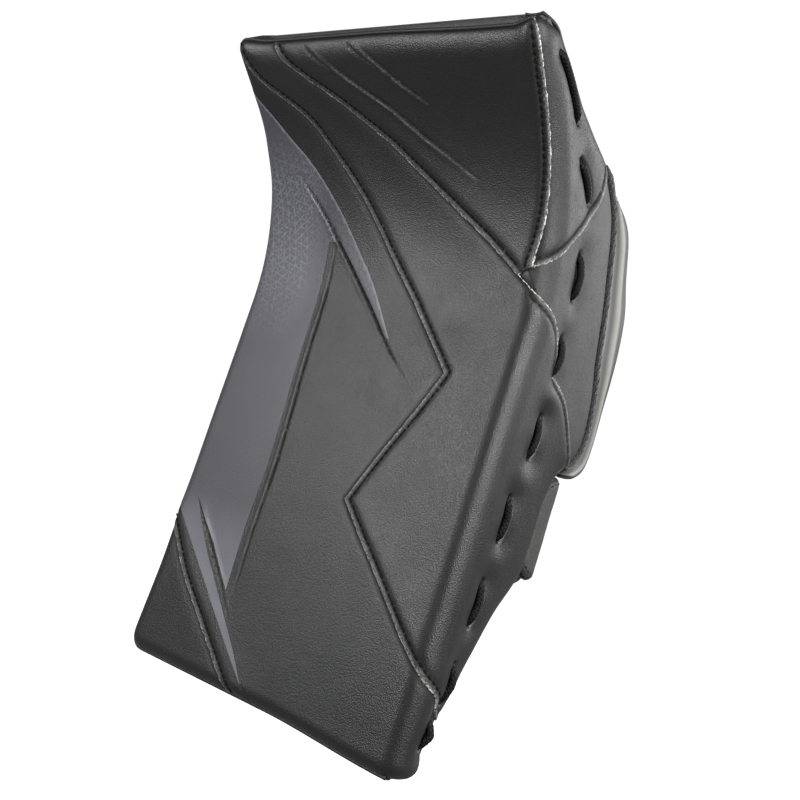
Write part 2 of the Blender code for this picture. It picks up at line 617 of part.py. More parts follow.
def add_strap(root, anchor_x):
    """The wrist strap that peels off the cuff's tab, with the patches that hold it."""
    low, high = STRAP_Z
    loop_low, loop_high = (LOOP_X[0], LOOP_Y[0], low + 1), (LOOP_X[1], LOOP_Y[1], high - 1)
    pad("strap_loop_patch", loop_low, loop_high, "webbing", root, 0)
    pad("strap_anchor", (anchor_x - 2, ANCHOR_Y, low), (anchor_x, STRAP_Y[1], high), "webbing", root, 0)
    hinge_x, hinge_y = STRAP_HINGE
    hinge = add_axis("strap_axis", (hinge_x, hinge_y, (low + high) / 2), root)
    pad("wrist_strap", (hinge_x + 1, STRAP_Y[0], low), (STRAP_END, STRAP_Y[1], high), "webbing", hinge, 0)
    hook_low, hook_high = (HOOK_X[0], HOOK_Y[0], low + 2), (HOOK_X[1], HOOK_Y[1], high - 2)
    pad("strap_hook_patch", hook_low, hook_high, "webbing", hinge, 0)
    pull_low, pull_high = (STRAP_END + GAP, PULL_Y[0], low + 4), (PULL_END, PULL_Y[1], high - 4)
    pad("strap_pull_tab", pull_low, pull_high, "leather", hinge, 0.8)


def main():
    clear_scene()
    root = add_axis("blocker", HAND_CENTRE)
    add_face(root)
    add_board(root)
    add_wall(root)
    add_guard(root)
    add_lace(root)
    add_hand(root)
    add_fingers(root)
    add_thumb(root)
    add_cuff(root)


main()
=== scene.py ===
"""Looks of the ice hockey goalie blocker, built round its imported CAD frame.

Shapes are drawn in board millimetres, as the frame's own design is: x towards the thumb side, y
back from the board's face, z up. The leather skin is drawn flat first, on a plane of girth
(across the face and round the thumb-side edge onto the wall) and distance up the bent face.
"""

import math
import random

import bmesh
import bpy
import numpy as np
from mathutils import Matrix, Vector, noise
from mathutils.geometry import delaunay_2d_cdt

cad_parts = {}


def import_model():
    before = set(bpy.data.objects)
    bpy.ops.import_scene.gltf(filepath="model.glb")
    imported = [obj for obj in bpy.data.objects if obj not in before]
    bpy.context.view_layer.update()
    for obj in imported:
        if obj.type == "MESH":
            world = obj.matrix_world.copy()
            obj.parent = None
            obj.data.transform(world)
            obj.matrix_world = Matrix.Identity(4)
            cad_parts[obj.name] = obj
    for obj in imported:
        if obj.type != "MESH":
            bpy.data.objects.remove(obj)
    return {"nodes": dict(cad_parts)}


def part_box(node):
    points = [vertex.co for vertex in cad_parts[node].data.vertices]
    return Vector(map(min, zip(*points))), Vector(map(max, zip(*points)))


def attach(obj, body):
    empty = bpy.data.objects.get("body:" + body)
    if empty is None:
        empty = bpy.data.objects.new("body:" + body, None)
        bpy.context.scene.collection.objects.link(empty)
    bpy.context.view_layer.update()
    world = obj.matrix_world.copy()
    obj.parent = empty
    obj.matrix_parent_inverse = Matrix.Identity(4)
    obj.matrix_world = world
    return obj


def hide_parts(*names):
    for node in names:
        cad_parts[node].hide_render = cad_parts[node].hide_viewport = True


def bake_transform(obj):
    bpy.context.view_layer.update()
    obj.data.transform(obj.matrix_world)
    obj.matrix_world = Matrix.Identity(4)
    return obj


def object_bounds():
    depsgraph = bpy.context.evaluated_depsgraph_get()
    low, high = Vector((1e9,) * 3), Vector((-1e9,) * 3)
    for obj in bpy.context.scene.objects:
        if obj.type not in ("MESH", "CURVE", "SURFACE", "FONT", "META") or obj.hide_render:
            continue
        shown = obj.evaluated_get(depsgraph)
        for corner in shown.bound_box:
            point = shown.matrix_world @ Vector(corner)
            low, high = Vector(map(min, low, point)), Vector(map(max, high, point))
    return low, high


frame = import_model()
CAD_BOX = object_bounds()
MM = 0.001
HAND_CENTRE = np.array((0.0, 47.5, 170.0))  # the frame's origin, in board millimetres
link = bpy.context.scene.collection.objects.link

# The board and its skin
SIDE = 101.5
LENGTH = 381.0
BEND_START = 222.0
BEND_END = 345.0
BEND_ANGLE = math.radians(46)
ROLL = 9.5  # radius of the thumb-side edge
FLAT_END = SIDE - ROLL
WALL_START = FLAT_END + ROLL * (math.pi / 2 - 1)  # girth of a place on the wall, less its depth
CORNER = 9.0
EDGE_DEPTH = 6.0
TOP_ROLL = 13.0
EDGE_ROLL = 7.0
LEATHER = 1.3
PITCH = 1.6
SKIN_SHARP = 55  # degrees between faces that the skin shows as an edge
PLACE_TO_UV = 0.01  # a place in millimetres on the skin's plane, as texture coordinates

# Seams of the face, as (girth, distance up)
SEAM_A = [(-76, 381), (-70.5, 371.4), (-59.5, 361), (-39.5, 347.3), (-20, 332.8), (0.4, 318.7), (17.6, 305.2),
          (33.5, 293.4), (51.6, 280.6), (69.7, 268), (88.4, 254), (99.6, 245.6)]
SEAM_B = [(-99.2, 377), (-91.3, 360.6), (-76.8, 346.7), (-60, 331.6), (-46.5, 315.8), (-33.5, 301.2),
          (-21.5, 287.1), (-10.4, 273.2), (1.8, 258.2), (14.5, 244.4), (27.8, 230.8), (39.9, 218),
          (51, 206.4), (60, 197)]
ZIGZAG_UP = [(60, 197), (50.3, 176.3), (35.3, 147.7), (22, 119)]
ZIGZAG_DOWN = [(22, 119), (36.6, 105), (54, 89), (79.6, 65), (99.4, 48)]
SEAM_C = [(-101.5, 78.5), (-98.3, 75.9), (-77, 51), (-51.6, 28.9), (-28.3, 9.3), (-17, 0)]
EDGE_SEAM = [(99.9, 381), (99.9, 340), (99.7, 305), (98.5, 285), (96.5, 270), (94.7, 259)]

# Seams and edges of the wall, as (distance up, depth)
SEAM_A_SIDE = [(238, 16.3), (229.8, 27.1), (213.5, 36.5), (204, 51.7), (190.4, 65.3), (174, 80.5)]
SEAM_B_SIDE = [(36.8, 18.6), (27, 28.8)]
SEAM_D_SIDE = [(263.8, 8), (272, 19.3), (282.2, 35.5), (290.8, 47.2), (304.7, 58)]
LOWER_REAR = [(9.5, 24), (27, 28.8), (50, 35.5), (67, 42), (86, 50), (102, 60), (113, 65), (130, 66),
              (150, 66), (168, 71), (174, 80.5)]
WING_REAR = [(174, 80.5), (184, 89), (199, 90.5), (220, 86), (233, 79), (262, 72), (286, 68.5), (304.7, 58)]
UPPER_REAR = [(304.7, 58), (320, 42), (340, 30.5), (363, 24), (372, 18.5), (379, 11)]
LACE_HOLES = [
    (360, 19.5), (326, 28), (309, 30), (291, 37.5), (269, 36.5), (250, 36.5), (232, 35), (214, 36), (191, 35),
    (168, 36), (145, 30), (122, 31), (100, 28.5), (77, 28), (56.5, 26.5), (36, 26), (27, 23), (13, 20),
]

# The printed panel and the creases pressed into the face, as (girth, distance up)
GREY_TOP = [(-101.5, 354), (-80.6, 325.7), (-65.8, 310), (-47.7, 289.5), (-33.9, 272.5), (-21, 256.6),
            (-7.1, 240.5), (15.9, 210)]
GREY_STREAK = [(12, 211.5), (-0.7, 224.8), (-19, 243), (-38.1, 263)]
GREY_EDGE = [(-47.2, 262), (-46.4, 227), (-45, 186), (-42.6, 152), (-41.2, 121), (-42.2, 88), (-40.6, 51)]
GREY_FORK = [(-61.5, 73), (-86.5, 96), (-66.7, 70), (-49.6, 52), (-33.9, 36), (-18.8, 20.4), (-7.5, 7.5),
             (-28.4, 24.8), (-62.2, 54.4), (-97.3, 87), (-101.5, 91)]
CREASE_GREY = [(-76.9, 306.2), (-66.7, 292.9), (-53.2, 278.4), (-38.1, 261.2), (-19, 241.5), (-0.7, 223.4),
               (18.2, 204.4), (33.2, 191.7)]
CREASE_EDGE = [(-41.5, 264.5), (-40.6, 227.5), (-39.2, 186.2), (-36.4, 152), (-35, 121.3), (-35.6, 87.6),
               (-34.6, 58), (-35.1, 44.5)]
CREASE_FORK = [(-87, 96), (-62, 70), (-44, 51), (-33, 38.5)]
CREASE_FOOT = [(-7.5, 7.5), (2, 0)]
CREASE_LONG = [(-44.8, 375), (-23, 357), (0.6, 340.8), (22.6, 324.3), (42.2, 312), (56.9, 302)]
CREASE_LONG_PAIR = [(-55, 379), (-47, 371.5), (-36, 364)]
CREASE_SHORT = [(-12.5, 375.6), (-1, 365.5), (12.6, 353.5), (29, 341.7)]
CREASE_SHORT_PAIR = [(-24, 379), (-14, 371), (-4, 364)]


# Curves and the way from the flat plane to the bent board

def smooth(points, step=3.0):
    """Places of a Catmull-Rom curve through the given ones, about a step apart."""
    ends = [points[0], *points, points[-1]]
    curve = []
    for p, q, r, s in zip(ends, ends[1:], ends[2:], ends[3:]):
        p, q, r, s = (np.array(v, float) for v in (p, q, r, s))
        count = max(1, round(np.linalg.norm(r - q) / step))
        for k in range(count):
            t = k / count
            curve.append(0.5 * (2 * q + (r - p) * t + (2 * p - 5 * q + 4 * r - s) * t**2
                                + (3 * q - p - 3 * r + s) * t**3))
    return np.array(curve + [np.array(points[-1], float)])


def wall(places):
    """Places on the wall, given as (up, depth), in the skin's plane of (girth, up)."""
    return [(WALL_START + depth, up) for up, depth in places]


def on_bend(up, depth):
    """y and z of places a distance up the face and a depth behind it."""
    radius = (BEND_END - BEND_START) / BEND_ANGLE
    turn = np.clip((up - BEND_START) / radius, 0, BEND_ANGLE)
    past = np.maximum(up - BEND_END, 0)
    y = -radius * (1 - np.cos(turn)) - past * np.sin(turn) + depth * np.cos(turn)
    z = np.minimum(up, BEND_START) + radius * np.sin(turn) + past * np.cos(turn) + depth * np.sin(turn)
    return y, z


def edge_shape(girth, up):
    """How far the skin's outer edge flares out and its top edge comes down at a place."""
    flare = 2.0 * ramp(up, 290, 320) + 2.5 * ramp(up, 318, 352) + 3.4 * ramp(up, 340, 381) + 1.6
    flare += 2.6 * (1 - ramp(up, 0, 60))
    flare *= 1 - ramp(girth, -SIDE, -55)
    lower = (3.4 * ramp(girth, -103, -78) + 1.5 * ramp(girth, -10, 70)) * ramp(up, 330, 381)
    lower *= 1 - 0.6 * ramp(girth, 84, 98)
    return flare, lower


def on_skin(places, height):
    """Points in board millimetres of places on the skin's plane, raised by a height."""
    girth, up = places[:, 0], places[:, 1]
    flare, lower = edge_shape(girth, up)
    up = up - lower
    turn = np.clip((girth - FLAT_END) / ROLL, 0, math.pi / 2)
    behind = np.maximum(girth - FLAT_END - ROLL * math.pi / 2, 0)
    x = np.minimum(girth, FLAT_END) + ROLL * np.sin(turn) + height * np.sin(turn) - flare
    depth = ROLL * (1 - np.cos(turn)) + behind - height * np.cos(turn)
    y, z = on_bend(up, depth)
    return np.column_stack((x, y, z))


def near_line(places, line):
    """For each place its distance to a line, the side it lies on, and how far along it is."""
    best = np.full(len(places), 1e9)
    side, along = np.zeros(len(places)), np.zeros(len(places))
    run = 0.0
    for a, b in zip(line, line[1:]):
        ab = b - a
        length = np.linalg.norm(ab)
        share = np.clip((places - a) @ ab / length**2, 0, 1)
        offset = places - a - share[:, None] * ab
        distance = np.hypot(offset[:, 0], offset[:, 1])
        closer = distance < best
        best[closer] = distance[closer]
        turned = ab[0] * (places[:, 1] - a[1]) - ab[1] * (places[:, 0] - a[0])
        side[closer] = np.sign(turned)[closer]
        along[closer] = (run + share * length)[closer]
        run += length
    return best, side, along / run


def inside(places, outline):
    """True for each place inside a closed outline."""
    odd = np.zeros(len(places), bool)
    x, y = places[:, 0], places[:, 1]
    for a, b in zip(outline, np.roll(outline, -1, axis=0)):
        crosses = (a[1] > y) != (b[1] > y)
        reach = a[0] + (y - a[1]) * (b[0] - a[0]) / (b[1] - a[1] if b[1] != a[1] else 1e-9)
        odd ^= crosses & (x < reach)
    return odd


def beside(line, distance):
    """A line beside another one, to the left of its direction."""
    along = np.gradient(line, axis=0)
    along /= np.linalg.norm(along, axis=1)[:, None]
    return line + distance * np.column_stack((-along[:, 1], along[:, 0]))


def bump(t, centre, width):
    """A bell 1 high at its centre."""
    return np.exp(-(((t - centre) / width) ** 2))


def ramp(t, low, high):
    """Rises smoothly from 0 at low to 1 at high."""
    share = np.clip((t - low) / (high - low), 0, 1)
    return share * share * (3 - 2 * share)


def unevenness(places, scale, seed):
    """Slow random waves from -1 to 1 over the plane."""
    return np.array([noise.noise(Vector((a / scale, b / scale, seed))) for a, b in places])


# The skin's relief

LINE_A = smooth(SEAM_A)
LINE_A_WALL = smooth([SEAM_A[-1], *wall(SEAM_A_SIDE)])
LINE_B = np.vstack((smooth(SEAM_B)[:-1], smooth(ZIGZAG_UP)[:-1], smooth([*ZIGZAG_DOWN, *wall(SEAM_B_SIDE)])))
LINE_C = smooth(SEAM_C)
LINE_D = smooth(EDGE_SEAM)
LINE_D_WALL = smooth([EDGE_SEAM[-1], *wall(SEAM_D_SIDE)])
WING_FRONT = smooth([SEAM_A[-2], EDGE_SEAM[-1]])
REAR_LOWER = smooth(wall(LOWER_REAR))
REAR_WING = smooth(wall(WING_REAR))
REAR_UPPER = smooth(wall(UPPER_REAR))
LACE_PLACES = np.array(wall(LACE_HOLES), float)

# Each crease: its line, the groove's depth and half width, the ridge beside it, the side of that ridge
CREASES = [
    (smooth(CREASE_GREY), 1.1, 0.75, 0.35, -1),
    (smooth(CREASE_EDGE), 0.8, 0.5, 0.4, -1),
    (smooth(CREASE_FORK), 0.5, 0.6, 0.45, 1),
    (smooth(CREASE_FOOT), 0.5, 0.6, 0.0, 1),
    (smooth(CREASE_LONG), 0.75, 0.8, 0.55, -1),
    (smooth(CREASE_LONG_PAIR), 0.6, 0.7, 0.2, 1),
    (smooth(CREASE_SHORT), 0.7, 0.8, 0.45, -1),
    (smooth(CREASE_SHORT_PAIR), 0.5, 0.7, 0.2, 1),
]
STITCH_INSET = 3.0
SEAM_ROWS = (0.35, 0.9, 1.6, 2.3, 3.0, 3.7, 4.6, 5.8)
CREASE_ROWS = (-2.2, -1.4, -0.85, -0.4, 0.0, 0.4, 0.85, 1.4, 2.2)
EDGE_ROWS = (0.08, 0.3, 0.7, 1.3, 2.1, 3.1, 4.4, 6.0, 8.0, 10.5)
TROUGH_DEPTH = 3.6
TROUGH_HALF = 3.0


def low_edge(girth):
    """The bottom edge, which hangs a little lower towards the thumb side."""
    return -3.4 * ramp(girth, 10, 96)


def edge_distance(places):
    """Distance in from the board's outer, top and bottom edges, which turn over."""
    across = places[:, 0] + SIDE
    up = np.minimum(places[:, 1] - low_edge(places[:, 0]), LENGTH - places[:, 1])
    round_corner = (across < CORNER) & (up < CORNER)
    return np.where(round_corner, CORNER - np.hypot(CORNER - across, CORNER - up), np.minimum(across, up))


def edge_drop(places):
    """How far the skin turns down towards those edges."""
    distance = edge_distance(places)
    top = ramp(places[:, 1], LENGTH - 2 * TOP_ROLL, LENGTH - TOP_ROLL) * ramp(places[:, 0] + SIDE, 4, 20)
    width = EDGE_ROLL + (TOP_ROLL - EDGE_ROLL) * top
    share = np.clip(1 - distance / width, 0, 1)
    return EDGE_DEPTH * (1 - np.sqrt(1 - share**2))


def lace_relief(places):
    """The wall drawn in by its lace: a narrow trough at each outside run, and the pull at each hole."""
    height = np.zeros(len(places))
    for start, end in zip(LACE_PLACES[::2], LACE_PLACES[1::2]):
        distance, _, share = near_line(places, np.array((start, end)))
        lens = TROUGH_HALF * np.sqrt(np.clip(1 - (2 * share - 1) ** 2, 0.12, 1))
        height -= TROUGH_DEPTH * (1 - ramp(distance, lens - 1.4, lens + 1.8))
        height -= 0.9 * bump(distance, 0, 9)
    for hole in LACE_PLACES:
        height -= 1.5 * bump(np.hypot(*(places - hole).T), 0, 7)
    return height


def wall_puff(places):
    """The padded wall swells between its front edge and its rear seam."""
    depth = places[:, 0] - WALL_START
    rear = np.minimum.reduce([near_line(places, line)[0] for line in (REAR_LOWER, REAR_WING, REAR_UPPER)])
    swell = 2.6 * ramp(depth, 4, 16) * (1 - np.exp(-rear / 7.0))
    return swell - 1.0 * np.exp(-rear / 3.0) * ramp(depth, 8, 16)


def lapped(distance):
    """Height added to a panel at a distance in from its cut edge: thick, then stitched down, then full."""
    height = 0.85 * np.exp(-((distance / 16) ** 2)) - 0.6 * bump(distance, STITCH_INSET, 0.95)
    height += 0.45 * ramp(distance, 3.4, 7.5) * np.exp(-distance / 30)
    return height - 0.25 * np.exp(-((distance / 0.7) ** 2))


def relief(places, over=(), under=()):
    """Height of the skin over the board's plain surface, for a panel that laps over and under seams."""
    height = -edge_drop(places)
    for line, _ in over:
        height += lapped(near_line(places, line)[0])
    for line in under:
        distance, side, _ = near_line(places, line)
        height -= 0.35 * np.exp(-((distance / 3.0) ** 2)) + 0.5 * ramp(distance * side, 1.0, 5.0)
    for line, depth, half, ridge, side in CREASES:
        distance, on_side, share = near_line(places, line)
        taper = ramp(share, 0.0, 0.22) * (1 - 0.85 * ramp(share, 0.6, 1.0))
        ended = (share <= 0) | (share >= 1)
        fade = np.where(ended, np.exp(-((distance / 1.5) ** 2)), 1.0)
        height -= taper * fade * depth * bump(distance, 0, half)
        height += taper * fade * ridge * bump(distance, 1.7, 0.9) * (on_side == side)
    on_wall = places[:, 0] > FLAT_END
    if on_wall.any():
        height[on_wall] += lace_relief(places[on_wall]) + wall_puff(places[on_wall])
    return height + 0.22 * unevenness(places, 46.0, 3.1) + 0.08 * unevenness(places, 13.0, 8.4)


def edge_wear_and_ridge_highlight(places, lines):
    """How light the leather is, from 0 to 1, along cut edges, and as a painted highlight along pressed
    ridges.
    """
    light = np.zeros(len(places))
    for line, reach in lines:
        light = np.maximum(light, np.exp(-((near_line(places, line)[0] / reach) ** 2)))
    # Painted highlight: a thin pale line on each crease's ridge
    for line, _, half, ridge, side in CREASES:
        distance, on_side, share = near_line(places, line)
        inner = (share > 0.02) & (share < 0.98) & (on_side == side)
        light = np.maximum(light, inner * ridge * 0.4 * bump(distance, half + 0.6, 0.28))
    return light


def painted_shade(places, over, under):
    """Painted shade: how dark the leather is painted, from 0 to 1, in the pressed creases, at laps and in the
    stitched grooves.
    """
    dark = np.zeros(len(places))
    for line in under:
        distance = near_line(places, line)[0]
        dark = np.maximum(dark, 0.9 * np.exp(-((distance / 1.9) ** 2)))
    for line, depth, half, *_ in CREASES:
        distance, _, share = near_line(places, line)
        inner = ramp(share, 0.0, 0.1) * (1 - ramp(share, 0.9, 1.0)) * (share > 0) * (share < 1)
        dark = np.maximum(dark, inner * min(1.0, depth) * bump(distance, 0, half))
    for line, _ in over:
        dark = np.maximum(dark, 0.97 * bump(near_line(places, line)[0], STITCH_INSET, 0.8))
    return dark


# Meshes

def world(points):
    """Board millimetres in the frame's metres."""
    return (np.asarray(points, float) - HAND_CENTRE) * MM


def mesh_piece(name, points, faces, material, slot, body="board", bend=None, replaces=(), sharp=None,
               outward=False):
    """A piece from points in board millimetres, on its body or, with bend, on no body."""
    mesh = bpy.data.meshes.new(name)
    mesh.from_pydata([tuple(p) for p in world(points)], [], [tuple(map(int, f)) for f in faces])
    mesh.validate()
    if outward:
        bm = bmesh.new()
        bm.from_mesh(mesh)
        bmesh.ops.recalc_face_normals(bm, faces=bm.faces)
        bm.to_mesh(mesh)
        bm.free()
    mesh.materials.append(material)
    obj = bpy.data.objects.new(name, mesh)
    link(obj)
    mesh.shade_smooth()
    if sharp:
        mesh.set_sharp_from_angle(angle=math.radians(sharp))
    if bend:
        first, second, start, end = bend
        tuple(world(start))
        tuple(world(end))
        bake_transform(obj)
    else:
        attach(obj, body)
    if replaces:
        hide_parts(*replaces)
    return obj


def point_values(obj, key, values):
    """Give each point of a piece a value that its material can read."""
    attribute = obj.data.attributes.new(key, "FLOAT", "POINT")
    attribute.data.foreach_set("value", values.astype(np.float32))


def looped(line):
    """A line's places and its first one again."""
    return np.vstack((line, line[:1]))


def band(first, second, count, turned=False):
    """Faces between two loops of points, given the number of each loop's first point."""
    quads = [[first + j, second + j, second + (j + 1) % count, first + (j + 1) % count] for j in range(count)]
    return [[quad[0], *quad[:0:-1]] for quad in quads] if turned else quads


def tube_faces(loops, count, start=0, turned=False):
    """Faces of a tube through loops of points, with a flat face at each end."""
    last = start + (loops - 1) * count
    faces = []
    for first in range(start, last, count):
        faces += band(first, first + count, count, turned)
    step = -1 if turned else 1
    return [*faces, list(range(start, start + count))[::step], list(range(last, last + count))[::-step]]


def grid_faces(rows, count):
    """Faces of a grid of points, a row at a time."""
    return [[r * count + k, r * count + k + 1, (r + 1) * count + k + 1, (r + 1) * count + k]
            for r in range(rows - 1) for k in range(count - 1)]


def spread(candidates):
    """Keep places in order of importance, each clear of the earlier ones by its own spacing."""
    kept, cells, size = [], {}, PITCH
    for place, spacing in candidates:
        cell = (int(place[0] // size), int(place[1] // size))
        close = (q for i in (-1, 0, 1) for j in (-1, 0, 1) for q in cells.get((cell[0] + i, cell[1] + j), ()))
        if all((place[0] - q[0]) ** 2 + (place[1] - q[1]) ** 2 > spacing * spacing for q in close):
            cells.setdefault(cell, []).append(place)
            kept.append(place)
    return kept


def triangulate(outline, rows=(), fine=(), pitch=PITCH):
    """Places and triangles that fill an outline, with rows of places along lines and finer spots."""
    border = [outline[0]]
    for place in outline[1:]:
        if np.linalg.norm(place - border[-1]) > 0.3:
            border.append(place)
    border = np.array(border)
    ring = []
    for a, b in zip(border, np.roll(border, -1, axis=0)):
        count = max(1, round(np.linalg.norm(b - a) / pitch))
        ring += [a + (b - a) * k / count for k in range(count)]
    ring = np.array(ring)
    low, high = ring.min(0), ring.max(0)

    def hexes(step):
        row_step = step * math.sqrt(3) / 2
        found = []
        for j, up in enumerate(np.arange(low[1], high[1], row_step)):
            across = np.arange(low[0] + (j % 2) * step / 2, high[0], step)
            found.append(np.column_stack((across, np.full(len(across), up))))
        return np.vstack(found)

    groups = [(np.vstack([np.asarray(r) for r in rows]), 0.32)] if len(rows) else []
    if len(fine):
        dense = hexes(pitch * 0.6)
        near = np.minimum.reduce([near_line(dense, np.array(line))[0] for line in fine])
        groups.append((dense[near < 7.5], pitch * 0.42))
    groups.append((hexes(pitch), pitch * 0.7))
    candidates = [(tuple(p), 0.0) for p in ring]
    closed = looped(ring)
    for places, spacing in groups:
        places = places[inside(places, ring)]
        places = places[near_line(places, closed)[0] > 0.25]
        candidates += [(tuple(p), spacing) for p in places]
    kept = spread(candidates)
    border_edges = [(k, (k + 1) % len(ring)) for k in range(len(ring))]
    places, _, faces, *_ = delaunay_2d_cdt([Vector(p) for p in kept], border_edges, [], 1, 1e-4)
    return np.array([tuple(p) for p in places]), faces


def sheet_faces(faces, count):
    """A closed sheet's faces, from those of its top side: the bottom side and the rim are added."""
    edges = {}
    for face in faces:
        for a, b in zip(face, [*face[1:], face[0]]):
            edges[(a, b)] = edges.get((a, b), 0) + 1
    rim = [(a, b) for (a, b) in edges if (b, a) not in edges]
    bottom = [[v + count for v in reversed(face)] for face in faces]
    return [*map(list, faces), *bottom, *([b, a, a + count, b + count] for a, b in rim)]


def offset_rows(lines, offsets):
    """Lines beside each of some lines, at each offset."""
    return [beside(line, offset) for line in lines for offset in offsets]


def skin_panel(name, outline, material, over=(), under=(), edges=False, lift=0.0, wear_and_highlight=(), fine=(),
               edge_material=None, thickness=LEATHER, **placing):
    """A leather panel cut to an outline on the skin's plane and laid on the padded board."""
    outline = np.asarray(outline, float)
    rows = []
    for line, side in over:
        rows += offset_rows([line], [side * d for d in SEAM_ROWS])
    rows += offset_rows([crease[0] for crease in CREASES], CREASE_ROWS)
    if edges:
        rows += [edge_line(inset) for inset in EDGE_ROWS]
    places, top_faces = triangulate(outline, rows, fine)
    height = relief(places, over, under) + lift
    top = on_skin(places, height)
    bottom = on_skin(places, height - thickness)
    faces = sheet_faces(top_faces, len(places))
    obj = mesh_piece(name, np.vstack((top, bottom)), faces, material, sharp=SKIN_SHARP, **placing)
    mesh = obj.data
    if edge_material:
        mesh.materials.append(edge_material)
        slots = np.zeros(len(mesh.polygons), np.int32)
        slots[2 * len(top_faces) - len(faces):] = 1  # the rim's faces come last
        mesh.polygons.foreach_set("material_index", slots)
    # Lighter along rubbed cut edges, with a painted highlight along crease ridges
    point_values(obj, "wear_and_highlight", np.tile(edge_wear_and_ridge_highlight(places, wear_and_highlight), 2))
    # Painted shade in the pressed creases, beside laps and in the stitched grooves
    point_values(obj, "painted_shade", np.tile(painted_shade(places, over, under), 2))
    layer = mesh.uv_layers.new(name="place")
    corners = np.zeros(len(mesh.loops), np.int32)
    mesh.loops.foreach_get("vertex_index", corners)
    layer.data.foreach_set("uv", (np.tile(places, (2, 1))[corners] * PLACE_TO_UV).astype(np.float32).ravel())


def edge_line(inset):
    """The board's outer edge drawn in by an inset, from the thumb side's top round to its bottom."""
    radius = max(CORNER - inset, 0.01)
    line = [(SIDE + 20, LENGTH - inset)]
    across = -SIDE + inset + radius
    for up, half_turns in ((LENGTH - inset - radius, 0.5), (inset + radius, 1.0)):
        for k in range(9):
            turn = math.pi * (half_turns + k / 16)
            line.append((across + radius * math.cos(turn), up + radius * math.sin(turn)))
    line += [(girth, inset + low_edge(girth)) for girth in np.arange(6.0, SIDE + 20, 6.0)]
    return resample(np.array(line), 1.5)


def distances(line):
    """How far along a line each of its places is."""
    return np.concatenate(([0], np.cumsum(np.linalg.norm(np.diff(line, axis=0), axis=1))))


def resample(line, step):
    """A line's places at even steps."""
    line = np.asarray(line, float)
    lengths = distances(line)
    count = max(2, round(lengths[-1] / step) + 1)
    at = np.linspace(0, lengths[-1], count)
    return np.column_stack([np.interp(at, lengths, line[:, k]) for k in range(line.shape[1])])


def tube_piece(name, path, radius, material, sides=10, profile=None, **placing):
    """A round cord or welt along a path of points, with closed ends. profile(along, turn) scales it."""
    path = np.asarray(path, float)
    along = np.gradient(path, axis=0)
    along /= np.linalg.norm(along, axis=1)[:, None]
    across = np.zeros_like(path)
    side = np.cross(along[0], (0.31, 0.87, 0.38))
    for k, direction in enumerate(along):
        side = side - direction * (side @ direction)
        side = side / np.linalg.norm(side)
        across[k] = side
    up = np.cross(along, across)
    run = distances(path)
    points = []
    for k in range(len(path)):
        for j in range(sides):
            turn = 2 * math.pi * j / sides
            size = radius * (profile(run[k], turn) if profile else 1.0)
            points.append(path[k] + size * (math.cos(turn) * across[k] + math.sin(turn) * up[k]))
    return mesh_piece(name, points, tube_faces(len(path), sides, turned=True), material, **placing)


# Materials

class Shader:
    """A Principled material and short ways to add nodes to it."""

    def __init__(self, name, roughness, specular=0.5, sheen=0.0):
        self.material = bpy.data.materials.new(name)
        self.material.use_nodes = True
        self.tree = self.material.node_tree
        self.main = self.tree.nodes["Principled BSDF"]
        self.set("Roughness", roughness)
        self.set("Specular IOR Level", specular)
        self.set("Sheen Weight", sheen)
        self.set("Sheen Roughness", 0.5)

    def set(self, socket, value):
        self.fill(self.main.inputs[socket], value)

    def fill(self, socket, value):
        if isinstance(value, bpy.types.NodeSocket):
            self.tree.links.new(value, socket)
        else:
            socket.default_value = value

    def node(self, kind, inputs=None, **settings):
        made = self.tree.nodes.new("ShaderNode" + kind)
        for key, value in settings.items():
            setattr(made, key, value)
        for key, value in (inputs or {}).items():
            self.fill(made.inputs[key], value)
        return made

    def math(self, operation, a, b=0.0, c=0.0):
        return self.node("Math", {0: a, 1: b, 2: c}, operation=operation).outputs[0]

    def place(self):
        """The object's own coordinates in millimetres."""
        own = self.node("TexCoord").outputs["Object"]
        return self.node("VectorMath", {0: own, 3: 1000.0}, operation="SCALE").outputs[0]

    def noise(self, scale, detail=2.0, roughness=0.5, at=None):
        """Noise of about the given size in millimetres."""
        made = self.node("TexNoise", {"Vector": at or self.place(), "Scale": 1.0 / scale, "Detail": detail,
                                      "Roughness": roughness})
        return made.outputs["Fac"]

    def cells(self, size, randomness=1.0):
        """Distance from the middles of cells of about the given size in millimetres."""
        inputs = {"Vector": self.place(), "Scale": 1.0 / size, "Randomness": randomness}
        return self.node("TexVoronoi", inputs).outputs["Distance"]

    def value(self, key):
        """A value that the piece's points carry."""
        return self.node("Attribute", attribute_name=key).outputs["Fac"]

    def range(self, value, low, high, to_low=0.0, to_high=1.0):
        return self.node("MapRange", {"Value": value, "From Min": low, "From Max": high, "To Min": to_low,
                                      "To Max": to_high}).outputs[0]

    def mix(self, share, a, b):
        made = self.node("Mix", data_type="RGBA")
        self.fill(made.inputs["Factor"], share)
        for socket, colour in (("A", a), ("B", b)):
            self.fill(made.inputs[socket], (*colour, 1.0) if isinstance(colour, tuple) else colour)
        return made.outputs["Result"]

    def bump(self, height, distance):
        """The normal of a surface raised by up to a distance in millimetres."""
        made = self.node("Bump", {"Height": height, "Distance": distance * MM, "Strength": 1.0})
        return made.outputs["Normal"]


def times(colour, factor):
    """A lighter or darker colour."""
    return tuple(factor * c for c in colour)


# Pale, for rubbed cut edges and for the painted highlight on crease ridges
WEAR_AND_HIGHLIGHT_COLOUR = (0.42, 0.41, 0.40)
# Near black, for the painted shade in creases, beside laps and in stitched grooves
PAINTED_SHADE_COLOUR = (0.0015, 0.0015, 0.0015)


